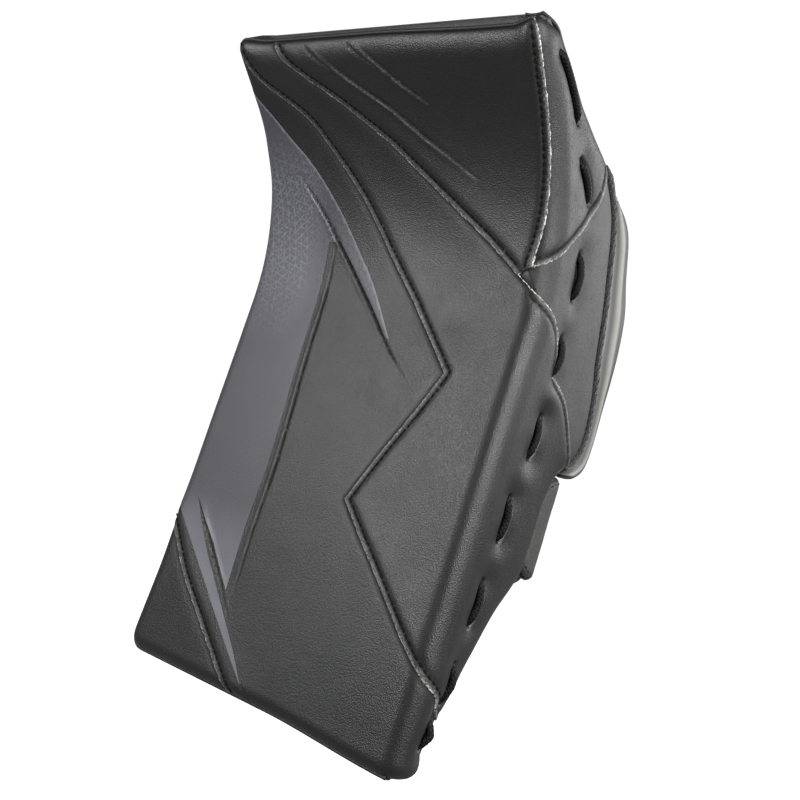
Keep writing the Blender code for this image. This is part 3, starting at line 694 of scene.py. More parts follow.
def grained_leather(name, colour, roughness=0.305, grain=0.72, depth=0.095, wear_and_highlight=True, wall_times=1.0):
    """Synthetic leather: pebbles with fine pores and painted shade in the hollows between them, slow changes
    of tone, light rubbed edges, a painted highlight on crease ridges and painted shade in creases, beside
    laps and in stitched grooves.
    """
    s = Shader(name, roughness)
    cells = s.cells(grain)
    pebble = s.range(cells, 0.0, 0.75, 1.0, 0.0)
    pores = s.noise(grain * 0.35, 3.0, 0.65)
    crease = s.noise(grain * 4.5, 4.0, 0.6)
    height = s.math("MULTIPLY_ADD", pores, 0.35, pebble)
    height = s.math("MULTIPLY_ADD", crease, 0.5, height)
    s.set("Normal", s.bump(height, depth))
    tone = s.noise(38.0, 3.0, 0.55)
    shade = s.mix(s.range(tone, 0.3, 0.7), times(colour, 0.82), times(colour, 1.18))
    # Painted shade: the hollows between pebbles are darker
    shade = s.mix(s.range(pebble, 0.1, 0.8, 0.75, 0.0), shade, times(colour, 0.3))
    if wall_times != 1.0:
        uv = s.node("UVMap", uv_map="place").outputs[0]
        split = s.node("SeparateXYZ", {0: uv})
        low = s.range(split.outputs[1], 2.1, 0.6)
        on_wall = s.math("MULTIPLY", s.range(split.outputs[0], 1.02, 1.16), low)
        shade = s.mix(on_wall, shade, times(colour, wall_times))
    if wear_and_highlight:
        # Lighter along rubbed cut edges and, as a painted highlight, along crease ridges
        light = s.value("wear_and_highlight")
        broken = s.noise(0.9, 4.0, 0.7)
        amount = s.math("MULTIPLY", light, s.range(broken, 0.42, 0.64, 0.05, 0.8))
        shade = s.mix(amount, shade, WEAR_AND_HIGHLIGHT_COLOUR)
        # Painted shade: darker in creases, beside laps and in stitched grooves
        dark = s.value("painted_shade")
        shade = s.mix(s.math("MULTIPLY", dark, 0.9), shade, PAINTED_SHADE_COLOUR)
    s.set("Base Color", shade)
    uneven = s.range(s.noise(17.0, 4.0, 0.6), 0.25, 0.75, roughness - 0.02, roughness + 0.05)
    uneven = s.math("ADD", uneven, s.range(height, 0.35, 1.0, 0.20, 0.0))
    if wear_and_highlight:
        uneven = s.math("MULTIPLY_ADD", dark, 0.6, uneven)
    s.set("Roughness", uneven)
    return s.material


def frayed_edge(name, colour, gaps):
    """The raw cut edge of the leather: pale fibres with dark gaps."""
    s = Shader(name, 0.6, specular=0.5)
    fibres = s.noise(1.5, 4.0, 0.65)
    patches = s.noise(7.0, 2.0, 0.5)
    amount = s.math("MULTIPLY", s.range(fibres, 0.43, 0.53), s.range(patches, 0.3, 0.6, 0.45, 1.0))
    # Paler where the point value is high; on panel rims that value includes the painted highlight on crease
    # ridges
    amount = s.math("MULTIPLY", amount, s.range(s.value("wear_and_highlight"), 0.0, 1.0, 0.10, 1.0))
    s.set("Base Color", s.mix(amount, gaps, colour))
    s.set("Normal", s.bump(fibres, 0.25))
    return s.material


def printed_leather(name):
    """The blue-grey printed panel: a pattern of small triangles that fades out up and down the face."""
    s = Shader(name, 0.42)
    uv = s.node("UVMap", uv_map="place").outputs[0]
    at = s.node("VectorMath", {0: uv, 3: 1 / PLACE_TO_UV}, operation="SCALE").outputs[0]
    split = s.node("SeparateXYZ", {0: at})
    girth, up = split.outputs[0], split.outputs[1]

    def lattice(pitch, width):
        """Lines in three directions, a pitch apart."""
        line = None
        for degrees in (12, 72, 132):
            turn = math.radians(degrees)
            across = s.node("VectorMath", {0: at, 1: (math.cos(turn) / pitch, math.sin(turn) / pitch, 0)},
                            operation="DOT_PRODUCT").outputs["Value"]
            near = s.math("ABSOLUTE", s.math("SUBTRACT", s.math("FRACT", across), 0.5))
            stroke = s.range(near, 0.5 - width, 0.5 - width * 0.35)
            line = stroke if line is None else s.math("MAXIMUM", line, stroke)
        return line

    strokes = s.math("MAXIMUM", lattice(4.6, 0.16), s.math("MULTIPLY", lattice(2.3, 0.2), 0.55))
    broken = s.range(s.noise(2.4, 2.0, 0.6, at), 0.38, 0.6, 0.25, 1.0)
    band = s.math("MULTIPLY", s.range(up, 330.0, 296.0), s.range(up, 196.0, 250.0))
    pattern = s.math("MULTIPLY", s.math("MULTIPLY", strokes, broken), band)
    edge = s.range(girth, -88.0, -40.0)
    low = s.range(up, 330.0, 240.0)
    ground = s.mix(s.math("MULTIPLY", edge, low), (0.051, 0.051, 0.063), (0.072, 0.072, 0.087))
    ground = s.mix(s.range(up, 250.0, 130.0, 0.0, 0.8), ground, (0.044, 0.044, 0.054))
    ground = s.mix(s.range(up, 100.0, 62.0), ground, (0.13, 0.13, 0.155))
    tone = s.noise(24.0, 3.0, 0.6)
    ground = s.mix(s.range(tone, 0.3, 0.7, 0.0, 0.3), ground, (0.05, 0.05, 0.062))
    lighter = s.range(girth, -66.0, -50.0)
    ink = s.mix(lighter, (0.17, 0.17, 0.20), (0.022, 0.022, 0.03))
    shade = s.mix(s.math("MULTIPLY", pattern, 0.75), ground, ink)
    # Lighter along the rubbed top edge and, as a painted highlight, along crease ridges
    shade = s.mix(s.math("MULTIPLY", s.value("wear_and_highlight"), 0.6), shade, (0.26, 0.26, 0.29))
    # Painted shade in creases, beside laps and in stitched grooves
    shade = s.mix(s.math("MULTIPLY", s.value("painted_shade"), 0.92), shade, (0.003, 0.003, 0.004))
    s.set("Base Color", shade)
    grain = s.range(s.cells(0.8), 0.0, 0.75, 1.0, 0.0)
    s.set("Normal", s.bump(s.math("MULTIPLY_ADD", s.noise(0.3, 3.0, 0.6), 0.4, grain), 0.05))
    return s.material


def thread(name, colour, roughness, specular):
    """Twisted sewing thread or braided cord, with a fine spiral."""
    s = Shader(name, roughness, specular=specular)
    twist = s.node("TexWave", {"Vector": s.place(), "Scale": 1.1, "Distortion": 2.0, "Detail": 2.0})
    s.set("Normal", s.bump(twist.outputs["Fac"], 0.08))
    s.set("Base Color", s.mix(s.noise(3.0), times(colour, 0.7), times(colour, 1.4)))
    return s.material


BLACK = (0.0085, 0.0083, 0.0080)
LEATHER_BLACK = grained_leather("black_leather_skin", BLACK, wall_times=1.9)
LEATHER_WALL = grained_leather("wall_leather", (0.010, 0.0098, 0.0102), 0.38, grain=0.7, depth=0.08)
LEATHER_WING = grained_leather("wing_leather", (0.040, 0.0395, 0.0385), 0.46, grain=0.6, depth=0.06)
PRINT = printed_leather("printed_leather_skin")
CUT_EDGE = frayed_edge("leather_cut_edge", (0.95, 0.94, 0.90), (0.012, 0.012, 0.012))
THREAD = thread("sewing_thread", (0.005, 0.005, 0.005), 0.7, 0.12)
LACE_CORD = thread("lace_cord", (0.003, 0.003, 0.004), 0.5, 0.2)


# The leather of the face and the wall

LAP = 7.0


def lap_line(line, distance):
    """A line beside another that stays the full distance clear of it at its inner corners."""
    moved = beside(line, distance)
    return moved[near_line(moved, line)[0] > 0.97 * abs(distance)]


def lace_runs():
    """The lace's runs outside the wall, each a line between two holes."""
    return [np.array((a, b)) for a, b in zip(LACE_PLACES[::2], LACE_PLACES[1::2])]


def upper_panel():
    """The panel above the first seam, out to the thumb-side edge."""
    front = np.array(SEAM_A[-2], float)
    a_line = LINE_A[LINE_A[:, 0] <= front[0] + 0.01]
    outline = np.vstack((a_line, WING_FRONT[1:-1], LINE_D[::-1]))
    skin_panel("upper_panel", outline, LEATHER_BLACK, over=[(a_line, 1), (LINE_D, -1)], edges=True,
               lift=0.35, wear_and_highlight=[(LINE_A, 0.7), (LINE_D, 0.8)], edge_material=CUT_EDGE,
               replaces=["face_panel_upper"], slot="black_leather")


def sweep_panel():
    """The panel that sweeps down the face and on over the wall."""
    below_top = lap_line(LINE_A, LAP)
    below_top = below_top[(below_top[:, 1] < LENGTH - 0.5) & (below_top[:, 0] < 90)]
    start = [(-99.2, 377), (-97.3, 379.4), (-94, 380.8), (-92.5, LENGTH), (below_top[0][0] - 1, LENGTH)]
    rear = REAR_LOWER[REAR_LOWER[:, 1] > 27.5][::-1]
    outline = np.vstack((start, below_top, LINE_A_WALL[1:], rear[1:], LINE_B[::-1][:-1]))
    skin_panel("sweep_panel", outline, LEATHER_BLACK, over=[(LINE_B, 1), (LINE_A_WALL, -1)],
               under=[LINE_A], edges=True, fine=lace_runs(),
               wear_and_highlight=[(LINE_B, 0.7), (LINE_A_WALL, 0.8), (REAR_LOWER, 0.9)],
               edge_material=CUT_EDGE, replaces=["face_panel_sweep", "wall_panel_lower"],
               slot="black_leather")


def main_panel():
    """The large lower panel and the toe of the wall."""
    below = lap_line(LINE_B, LAP)
    below = below[(below[:, 1] < LENGTH - 4) & (below[:, 0] < 118)]
    rear = REAR_LOWER[REAR_LOWER[:, 1] <= 40][::-1]
    toe = smooth([rear[-1], (WALL_START + 20, 3), (WALL_START + 14.5, -1.4), (WALL_START + 9, -3.2)])
    foot = np.array([(girth, low_edge(girth)) for girth in np.arange(WALL_START + 6, -17, -6.0)])
    outline = np.vstack(([(-SIDE, 368)], [(-SIDE, 373.5)], [(-98.5, 378.5)], below, rear, toe[1:], foot,
                         [(-17, 0)], LINE_C[::-1][1:]))
    skin_panel("main_panel", outline, LEATHER_BLACK, over=[(LINE_C, 1)], under=[LINE_B], edges=True,
               lift=-0.1, wear_and_highlight=[(LINE_C, 0.7)], fine=lace_runs()[-2:], edge_material=CUT_EDGE,
               replaces=["face_panel_main", "wall_panel_toe"], slot="black_leather")


def corner_panel():
    """The small panel at the bottom of the outer side."""
    above = lap_line(LINE_C, LAP)
    above = above[(above[:, 1] > 0.5) & (above[:, 0] > -SIDE + 0.5)]
    low_corner = edge_line(0.0)
    low_corner = low_corner[(low_corner[:, 0] < above[-1][0]) & (low_corner[:, 1] < above[0][1])]
    outline = np.vstack(([(-SIDE, above[0][1])], above, [(above[-1][0], 0)], low_corner[::-1]))
    skin_panel("corner_panel", outline, LEATHER_BLACK, under=[LINE_C], edges=True, lift=-0.1,
               replaces=["face_panel_corner"], slot="black_leather")


def grey_panel():
    """The printed grey panel along the outer side, forked at its lower end."""
    outline = np.vstack((smooth(GREY_TOP), smooth(GREY_STREAK), smooth(GREY_EDGE), GREY_FORK[:1],
                         smooth(GREY_FORK[1:7], 4)[:-1], smooth(GREY_FORK[6:])))
    skin_panel("grey_panel", outline, PRINT, over=[(LINE_C, 1)], under=[LINE_B], edges=True, lift=0.12,
               thickness=0.3, wear_and_highlight=[(smooth(GREY_TOP), 0.6)], replaces=["face_panel_grey"],
               slot="printed_leather")


def wall_upper_panel():
    """The wall above the wing."""
    front = beside(LINE_D, -5.0)[:-1]
    outline = np.vstack((front, [(EDGE_SEAM[-1][0] - 2.5, 257)], LINE_D_WALL[1:], REAR_UPPER[1:],
                         [(WALL_START + 9, LENGTH - 0.2)], [(WALL_START + 4, LENGTH)]))
    skin_panel("wall_upper_panel", outline, LEATHER_WALL, over=[(LINE_D_WALL, 1)],
               lift=-0.35, wear_and_highlight=[(LINE_D_WALL, 0.8)], fine=lace_runs()[:3], edges=True,
               edge_material=CUT_EDGE, replaces=["wall_panel_upper"], slot="black_leather")


def wing_panel():
    """The smooth wing between the wall's other two panels."""
    front_a = LINE_A_WALL[LINE_A_WALL[:, 1] < 250]
    low = beside(front_a, -4.0)
    low = low[low[:, 0] < REAR_WING[0][0] - 6]
    high = beside(LINE_D_WALL, 4.0)
    high = high[(high[:, 1] > 262) & (high[:, 0] < REAR_UPPER[0][0] - 3)]
    outline = np.vstack(([(93, 250)], [(93, 262)], high, REAR_WING[::-1], low[::-1]))
    skin_panel("wing_panel", outline, LEATHER_WING, lift=-0.9, fine=lace_runs()[2:5],
               replaces=["wall_panel_wing"], slot="smooth_leather")


# Rows of a frayed edge: how far out each lies, as a share of the edge's reach, and how high
FRAY_ROWS = ((-0.35, 0.35), (-0.1, 0.5), (0.35, 0.32), (0.75, 0.0), (1.0, -0.42))


def fray(name, line, side, lift, lights, width, seed):
    """The raw edge left by a cut: an uneven strip of pale fibres that slopes down off the upper panel."""
    line = resample(line, 0.8)
    share = np.linspace(0, 1, len(line))
    rng = np.random.default_rng(seed)
    slow = np.interp(share, np.linspace(0, 1, 40), rng.uniform(0.45, 1.25, 40))
    reach = width * slow * rng.uniform(0.75, 1.2, len(line))
    light = np.interp(share, *zip(*lights)) * np.interp(share, np.linspace(0, 1, 60), rng.uniform(0.6, 1, 60))
    base = relief(line) + lift

    def strip(part):
        return line + (beside(line, 1.0) - line) * (-side * part * reach)[:, None]

    top = [on_skin(strip(part), base + rise + rng.uniform(-0.12, 0.12, len(line)))
           for part, rise in FRAY_ROWS]
    bottom = [on_skin(strip(part), base - 0.8) for part, _ in FRAY_ROWS]
    faces = grid_faces(len(FRAY_ROWS), len(line))
    if side > 0:
        faces = [face[::-1] for face in faces]
    faces = sheet_faces(faces, len(FRAY_ROWS) * len(line))
    obj = mesh_piece(name, np.vstack(top + bottom), faces, CUT_EDGE, slot="black_leather")
    point_values(obj, "wear_and_highlight", np.tile(light, 2 * len(FRAY_ROWS)))


STITCH_SIDES = 6
STITCH_SIZES = (0.25, 0.8, 1, 1, 0.8, 0.25)  # of a stitch's radius, at the six places along it


def add_stitch(points, faces, line, normal, radius):
    """Add one stitch, thin at its ends, along a line of six places."""
    across = np.cross(np.gradient(line, axis=0), normal)
    across /= np.linalg.norm(across, axis=1)[:, None] + 1e-9
    faces += tube_faces(len(STITCH_SIZES), STITCH_SIDES, len(points))
    for k, size in enumerate(STITCH_SIZES):
        for j in range(STITCH_SIDES):
            turn = 2 * math.pi * j / STITCH_SIDES
            points.append(line[k] + radius * size * (math.cos(turn) * across[k] + math.sin(turn) * normal[k]))


def stitches(name, line, side, lift, over, seed, inset=STITCH_INSET, pitch=3.9, radius=0.6):
    """A row of thread stitches that sit in the seam's groove."""
    row = resample(beside(line, side * inset), pitch)
    row = row[(row[:, 1] < LENGTH - 1.2) & (row[:, 1] > 1.2)]
    along = np.gradient(row, axis=0)
    along /= np.linalg.norm(along, axis=1)[:, None]
    rng = random.Random(seed)
    points, faces = [], []
    for centre, direction in zip(row, along):
        half = 0.39 * pitch * rng.uniform(0.92, 1.06)
        shares = np.array((-1, -0.86, -0.4, 0.4, 0.86, 1))
        places = centre + np.outer(shares * half, direction)
        base = float(relief(centre[None], over)[0]) + lift
        rise = np.array((-0.55, 0.05, 0.22, 0.22, 0.05, -0.55)) + rng.uniform(-0.04, 0.04)
        path = on_skin(places, base + rise)
        normal = on_skin(places, base + rise + 1.0) - path
        add_stitch(points, faces, path, normal, radius)
    mesh_piece(name, points, faces, THREAD, slot="black_leather")


# Closed sections of the edge covers, as (outward, depth), at the sides and at the top
COVER_SECTION = [(-0.8, 5.0), (0.2, 5.9), (0.9, 8.0), (1.1, 13.0), (0.9, 18.5), (0.1, 22.0), (-1.6, 24.6),
                 (-4.5, 25.6), (-7.8, 25.1), (-8.6, 24.6), (-8.4, 24.1), (-4.5, 24.2), (-2.4, 23.2),
                 (-1.4, 20.0), (-1.2, 9.0), (-1.8, 5.6)]
TOP_SECTION = [(-0.8, 5.0), (0.2, 5.9), (0.7, 8.0), (0.3, 13.0), (-1.2, 18.5), (-2.6, 22.0), (-4.0, 24.2),
               (-6.5, 25.2), (-9.8, 24.9), (-10.4, 24.4), (-10.0, 24.0), (-7.0, 24.0), (-4.8, 22.6),
               (-3.4, 20.0), (-1.9, 9.0), (-1.8, 5.6)]


def cover_strip(name, path, **placing):
    """The cover's section carried along the board's edge, shallow at the wall and turned in at the top."""
    outward = beside(path, 1.0) - path
    outward /= np.linalg.norm(outward, axis=1)[:, None]
    points = []
    for place, out in zip(path, outward):
        shallow = 1 - 0.42 * ramp(place[0], 74, 84) - 0.36 * ramp(place[0], 84, SIDE)
        lean = ramp(place[1], LENGTH - CORNER, LENGTH)
        for offset, depth in (1 - lean) * np.array(COVER_SECTION) + lean * np.array(TOP_SECTION):
            moved = place - out * offset
            flare, lower = edge_shape(place[0], place[1])
            moved = moved - (flare * (1 - ramp(depth, 7, 20)), lower)
            y, z = on_bend(moved[1], 5 + (depth - 5) * shallow)
            points.append((moved[0], float(y), float(z)))
    faces = tube_faces(len(path), len(COVER_SECTION), turned=True)
    return mesh_piece(name, points, faces, LEATHER_COVER, sharp=50, **placing)


def edge_covers():
    """The smooth leather over the board's outer, top and bottom edges, with a welt at its front."""
    whole = edge_line(0.0)
    whole = whole[whole[:, 0] < SIDE - 5]
    top = whole[(whole[:, 1] > LENGTH - 0.01) & (whole[:, 0] > -SIDE + CORNER)]
    bottom = whole[(whole[:, 1] < 0.01) & (whole[:, 0] > -SIDE + CORNER)]
    outer = whole[(whole[:, 0] <= -SIDE + CORNER + 1.5)]
    for name, path in (("top", top), ("outer", outer), ("bottom", bottom)):
        cover_strip(f"edge_cover_{name}_skin", resample(path, 2.2), replaces=[f"edge_cover_{name}"],
                    slot="black_leather")
    path = resample(whole, 1.6)
    flare, lower = edge_shape(path[:, 0], path[:, 1])
    y, z = on_bend(path[:, 1] + np.where(path[:, 1] > LENGTH - 0.01, 0.2, 0) - lower, np.full(len(path), 5.1))
    welt = np.column_stack((path[:, 0] - flare, y, z))
    tube_piece("edge_welt", welt, 1.15, LEATHER_COVER, slot="black_leather")


def lace():
    """One braided lace, in its troughs outside the wall and along the liner inside."""
    inside_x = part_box("wall_liner")[0].x / MM - 2.4
    plain = wall_puff(LACE_PLACES)
    y, z = on_bend(LACE_PLACES[:, 1], LACE_PLACES[:, 0] - WALL_START)
    holes = np.column_stack((np.zeros(len(y)), y, z))
    route = [holes[0] + (inside_x, 0, 9)]
    for k, hole in enumerate(holes):
        outward = k % 2 == 0
        partner = holes[k + 1] if outward else holes[k - 1]
        towards = (partner - hole) / np.linalg.norm(partner - hole)
        low, high = SIDE + plain[k] - 4.6, SIDE + plain[k] - 2.4
        proud = 0.8 if k > len(holes) - 5 else 0.0
        flat = min(5.6, 0.34 * np.linalg.norm(partner - hole))
        dive = [(inside_x + 1.5, -0.2), (inside_x + 6, 0.2), (low - 1.5, 0.4), (low + 0.3, 1.0),
                (high, 0.55 * flat), (high + 0.9 + 0.6 * proud, flat)]
        points = [hole + towards * reach + (x, 0, 0) for x, reach in dive]
        other = holes[k - 1] if outward and k else holes[min(k + 1, len(holes) - 1)]
        if outward and k == 0 or not outward and k == len(holes) - 1:
            away = np.array((0.0, 0.0, 1.0 if outward else -1.0))
        else:
            away = (other - hole) / np.linalg.norm(other - hole)
        points.insert(0, hole + away * 2.5 + (inside_x, 0, 0))
        route += points if outward else points[::-1]
        if outward:
            middle = (hole + partner) / 2
            swell = (plain[k] + plain[k + 1]) / 2
            route.append(middle + (SIDE + swell - 1.0 + proud, 0.5, 0))
    route.append(holes[-1] + (inside_x, 0, -8))
    path = resample(smooth(route, 0.8), 0.5)

    def braid(run, turn):
        first = math.sin(4 * turn + run * 3.1)
        second = math.sin(4 * turn - run * 3.1)
        return 0.90 + 0.20 * max(first, second)

    tube_piece("side_lace_cord", path, 2.0, LACE_CORD, sides=24, profile=braid, replaces=["side_lace"],
               slot="lace")


LEATHER_COVER = grained_leather("edge_cover_leather", (0.009, 0.0088, 0.0086), roughness=0.45, wear_and_highlight=False)


def face_and_wall():
    """Every panel of the skin, its covers and lace, then its frayed edges and stitches."""
    upper_panel()
    sweep_panel()
    main_panel()
    corner_panel()
    grey_panel()
    wall_upper_panel()
    wing_panel()
    edge_covers()
    lace()
    fray("frayed_edge_a", LINE_A[2:], 1, 0.35,
         [(0, 0.5), (0.06, 1), (0.6, 0.85), (0.75, 0.95), (1, 1)], 0.85, 11)
    fray("frayed_edge_b", LINE_B[1:-3], 1, 0.0,
         [(0, 0.9), (0.3, 0.8), (0.45, 0.5), (0.75, 0.55), (0.85, 1), (1, 1)], 0.7, 12)
    fray("frayed_edge_c", LINE_C[1:], 1, -0.1, [(0, 1), (0.7, 0.95), (0.85, 0.6), (1, 0.5)], 0.9, 13)
    fray("frayed_edge_d", LINE_D, -1, 0.35, [(0, 1), (0.8, 0.95), (1, 0.9)], 0.75, 14)
    fray("frayed_edge_wing_front", LINE_D_WALL, 1, -0.35, [(0, 1), (0.25, 1), (1, 0.9)], 0.9, 15)
    fray("frayed_edge_wing_rear", LINE_A_WALL, -1, 0.0, [(0, 1), (0.3, 0.9), (1, 0.9)], 0.9, 16)
    stitches("stitches_a", LINE_A[LINE_A[:, 0] < 86], 1, 0.35, [(LINE_A, 1), (LINE_D, -1)], 21)
    stitches("stitches_b", LINE_B[:-4], 1, 0.0, [(LINE_B, 1)], 22)
    stitches("stitches_c", LINE_C, 1, -0.1, [(LINE_C, 1)], 23)
    stitches("stitches_d", LINE_D, -1, 0.35, [(LINE_D, -1), (LINE_A, 1)], 24, inset=2.7)


face_and_wall()


# Padded and sewn pieces

def crown(distance, radius):
    """Rises from 0 at a piece's edge to 1 a radius in from it, as a round shoulder does."""
    share = np.clip(1 - distance / radius, 0, 1)
    return np.sqrt(1 - share**2)


def round_box(low_u, high_u, low_v, high_v, radius):
    """A rectangle's outline with round corners, anticlockwise."""
    outline = []
    left, right, low, high = low_u + radius, high_u - radius, low_v + radius, high_v - radius
    for centre_u, centre_v, quarter in ((right, low, -1), (right, high, 0), (left, high, 1), (left, low, 2)):
        for k in range(7):
            turn = math.pi / 2 * (quarter + k / 6)
            outline.append((centre_u + radius * math.cos(turn), centre_v + radius * math.sin(turn)))
    return np.array(outline)


def facing_back(places, y):
    """Places as (x, z), at one y or at one for each."""
    return np.column_stack((places[:, 0], np.full(len(places), y), places[:, 1]))


def facing_side(places, x):
    """Places as (y, z), at one x or at one for each."""
    return np.column_stack((np.full(len(places), x), places[:, 0], places[:, 1]))


def inset_loop(outline, inset):
    """A closed line inside an outline, for a row of stitches."""
    return resample(beside(looped(outline), inset), 1.0)


def on_board_back(places, depth):
    """Places as (x, up), at depths behind the face."""
    y, z = on_bend(places[:, 1], depth)
    return np.column_stack((places[:, 0], y, z))


def cushion(name, outline, to_space, low, high, material, radius=4.0, level=0.5, channels=(), cut=0.45,
            width=1.5, waves=0.25, pitch=2.4, fill=0.8, **placing):
    """A padded panel between two heights: crowned, drawn in to a seam at its edge, with sewn channels."""
    outline = np.asarray(outline, float)
    channels = [resample(line, pitch) for line in channels]
    rows = offset_rows(channels, (-2.0, -1.0, 0.0, 1.0, 2.0))
    closed = resample(looped(outline), pitch)
    rows += [beside(closed, inset) for inset in (0.3, 0.9, 1.8, 3.0)]
    places, faces = triangulate(outline, rows, pitch=pitch)
    full = crown(near_line(places, closed)[0], radius)
    for line in channels:
        full = full * (1 - cut * bump(near_line(places, line)[0], 0, width))
    seed = len(name) * 1.7
    ruffle = 1 - waves * (0.5 - 0.5 * unevenness(places, 17.0, seed))
    ruffle -= 0.4 * waves * unevenness(places, 5.0, seed)
    middle = low + (high - low) * level
    top = to_space(places, middle + (high - middle) * full * np.minimum(ruffle, 1.0))
    bottom = to_space(places, middle - (middle - low) * full)
    faces = sheet_faces(faces, len(places))
    obj = mesh_piece(name, np.vstack((top, bottom)), faces, material, outward=True, **placing)
    return obj


def welt(name, path, radius, material, **placing):
    """A covered cord sewn along a closed edge."""
    return tube_piece(name, resample(looped(path), 1.5), radius, material, sides=8, **placing)


def thread_row(name, path, normal, pitch=3.4, **placing):
    """Stitches along a path, sunk at their ends, with one normal or one for each point."""
    path = np.asarray(path, float)
    joined = np.hstack((path, np.broadcast_to(np.asarray(normal, float), path.shape)))
    lengths = distances(path)
    points, faces = [], []
    for k in range(int(lengths[-1] // pitch)):
        at = (k + 0.5 + np.array((-0.39, -0.33, -0.15, 0.15, 0.33, 0.39))) * pitch
        row = np.column_stack([np.interp(at, lengths, joined[:, c]) for c in range(6)])
        up = row[:, 3:]
        line = row[:, :3] + up * np.array((-0.4, 0.08, 0.2, 0.2, 0.08, -0.4))[:, None]
        add_stitch(points, faces, line, up, 0.32)
    return mesh_piece(name, points, faces, THREAD, **placing)


def rings_piece(name, loops, closed, **placing):
    """Finger leather through loops of equal count, joined round to the first or ended by flat faces."""
    count = len(loops[0])
    last = (len(loops) - 1) * count
    faces = [] if closed else [list(range(count)), [last + j for j in reversed(range(count))]]
    for first in range(0, last, count):
        faces += band(first, first + count, count)
    if closed:
        faces += band(last, 0, count)
    return mesh_piece(name, np.vstack(loops), faces, LEATHER_FINGER, outward=True, sharp=50,
                      slot="black_leather", **placing)


def sleeve_loop(centre, along, half_u, half_v, power, sides=44):
    """A loop round a centre, square to a direction, with the turn of each point."""
    along = np.asarray(along, float) / np.linalg.norm(along)
    v_axis = np.cross(along, (0, 1, 0))
    v_axis /= np.linalg.norm(v_axis)
    u_axis = np.cross(v_axis, along)
    turn = 2 * np.pi * np.arange(sides) / sides
    c, s = np.cos(turn), np.sin(turn)
    size = (np.abs(c) ** power + np.abs(s) ** power) ** (-1 / power)
    return centre + np.outer(half_u * size * c, u_axis) + np.outer(half_v * size * s, v_axis), turn


SLEEVE_WALL = 1.8

# How far each fold at a joint lies from it, its depth and its half width
FOLDS = ((-7.5, 0.35, 1.1), (-4.2, 0.6, 1.0), (-1.2, 0.8, 1.0), (1.8, 0.7, 1.0), (4.8, 0.5, 1.1),
         (8.0, 0.3, 1.2))


def fold_depth(z, turn, joints, seed):
    """How deep the leather is folded near joints, at a height and at each turn round a sleeve."""
    depth = np.zeros(len(turn))
    for joint in joints:
        for k, (offset, deep, half) in enumerate(FOLDS):
            wander = 1.1 * np.sin(2 * turn + seed + k) + 0.6 * np.sin(3 * turn + 2.1 * k)
            strength = 0.55 + 0.45 * np.sin(turn + seed + 1.3 * k)
            depth += strength * deep * bump(z, joint + offset + wander, half)
    return depth


def sleeve_rings(loop, top, low, radius, wall_thickness, tip):
    """Loops along a sleeve's outside and inside, open at both ends or closed round at its tip."""
    levels = [*np.arange(top, low + (radius if tip else 0), -1.15)] + ([] if tip else [low])
    outside = [loop(z, 1, 0) for z in levels]
    inner = [loop(z, 1, wall_thickness) for z in levels]
    if not tip:
        return outside + inner[::-1]
    for turn in np.radians(np.arange(6, 88, 7)):
        rounded = low + radius * (1 - math.sin(turn))
        outside.append(loop(rounded, math.cos(turn), 0))
        inner.append(loop(rounded + wall_thickness, math.cos(turn), wall_thickness))
    return inner[::-1] + outside


def finger_sleeve(name, centre, top, low, tip, joints, bend, replaces, end_share=1.0):
    """One length of a leather finger."""
    half_x, half_y, power = 11.5 * end_share, 12.0 * end_share, 2.7
    seed = centre[0] * 0.1

    def loop(z, share, thin):
        points, turn = sleeve_loop(np.array((*centre, z)), (0, 0, -1), 1.0, 1.0, power)
        away = points - np.array((*centre, z))
        swell = 0.35 * np.sin((z - low) * 0.12 + seed)
        size_x = (half_x - thin + swell * 0.3) * share
        size_y = (half_y - thin) * share
        fold = np.zeros(len(turn)) if thin > 0.5 else fold_depth(z, turn, joints, seed) * share
        seams = sum(bump(np.angle(np.exp(1j * (turn - at))), 0, 0.07) for at in (0.78, 2.36))
        fold = fold - (0.45 * seams * share if thin < 0.5 else 0)
        scale = np.column_stack((size_x - fold, size_y - fold, np.ones(len(turn))))
        return np.array((*centre, z)) + away * scale

    rings_piece(name, sleeve_rings(loop, top, low, half_x, SLEEVE_WALL, tip), not tip, bend=bend,
                replaces=replaces)


KNUCKLE = 118.0
FINGER_DEPTH = 47.0  # of a finger's middle, behind the face
FINGERS = {"index": (35.0, 72.0, 32.0), "middle": (10.5, 68.0, 24.0), "ring": (-14.0, 71.0, 30.0),
           "little": (-38.5, 80.0, 46.0)}


def fingers():
    for name, (x, middle, end) in FINGERS.items():
        centre = (x, FINGER_DEPTH)
        knuckle_bend = ("board", f"{name}_base", (*centre, KNUCKLE + 9), (*centre, KNUCKLE - 9))
        joint_bend = (f"{name}_base", f"{name}_tip", (*centre, middle + 8), (*centre, middle - 8))
        split = middle + 9.5
        finger_sleeve(f"{name}_finger_upper", centre, KNUCKLE + 7, split, False, (KNUCKLE,), knuckle_bend,
                      [f"{name}_finger_base"])
        finger_sleeve(f"{name}_finger_lower", centre, split + 1.2, end, True, (middle,), joint_bend,
                      [f"{name}_finger_tip"], end_share=0.985)
        loop, _ = sleeve_loop(np.array((*centre, split + 0.4)), (0, 0, -1), 12.1, 11.6, 2.7, 36)
        welt(f"{name}_finger_seam", loop, 0.75, LEATHER_FINGER, body=f"{name}_base", slot="black_leather")
        cap, _ = sleeve_loop(np.array((*centre, end + 13.5)), (0, 0, -1), 11.75, 11.3, 2.7, 36)
        welt(f"{name}_finger_cap_seam", cap, 0.6, LEATHER_FINGER, body=f"{name}_tip", slot="black_leather")


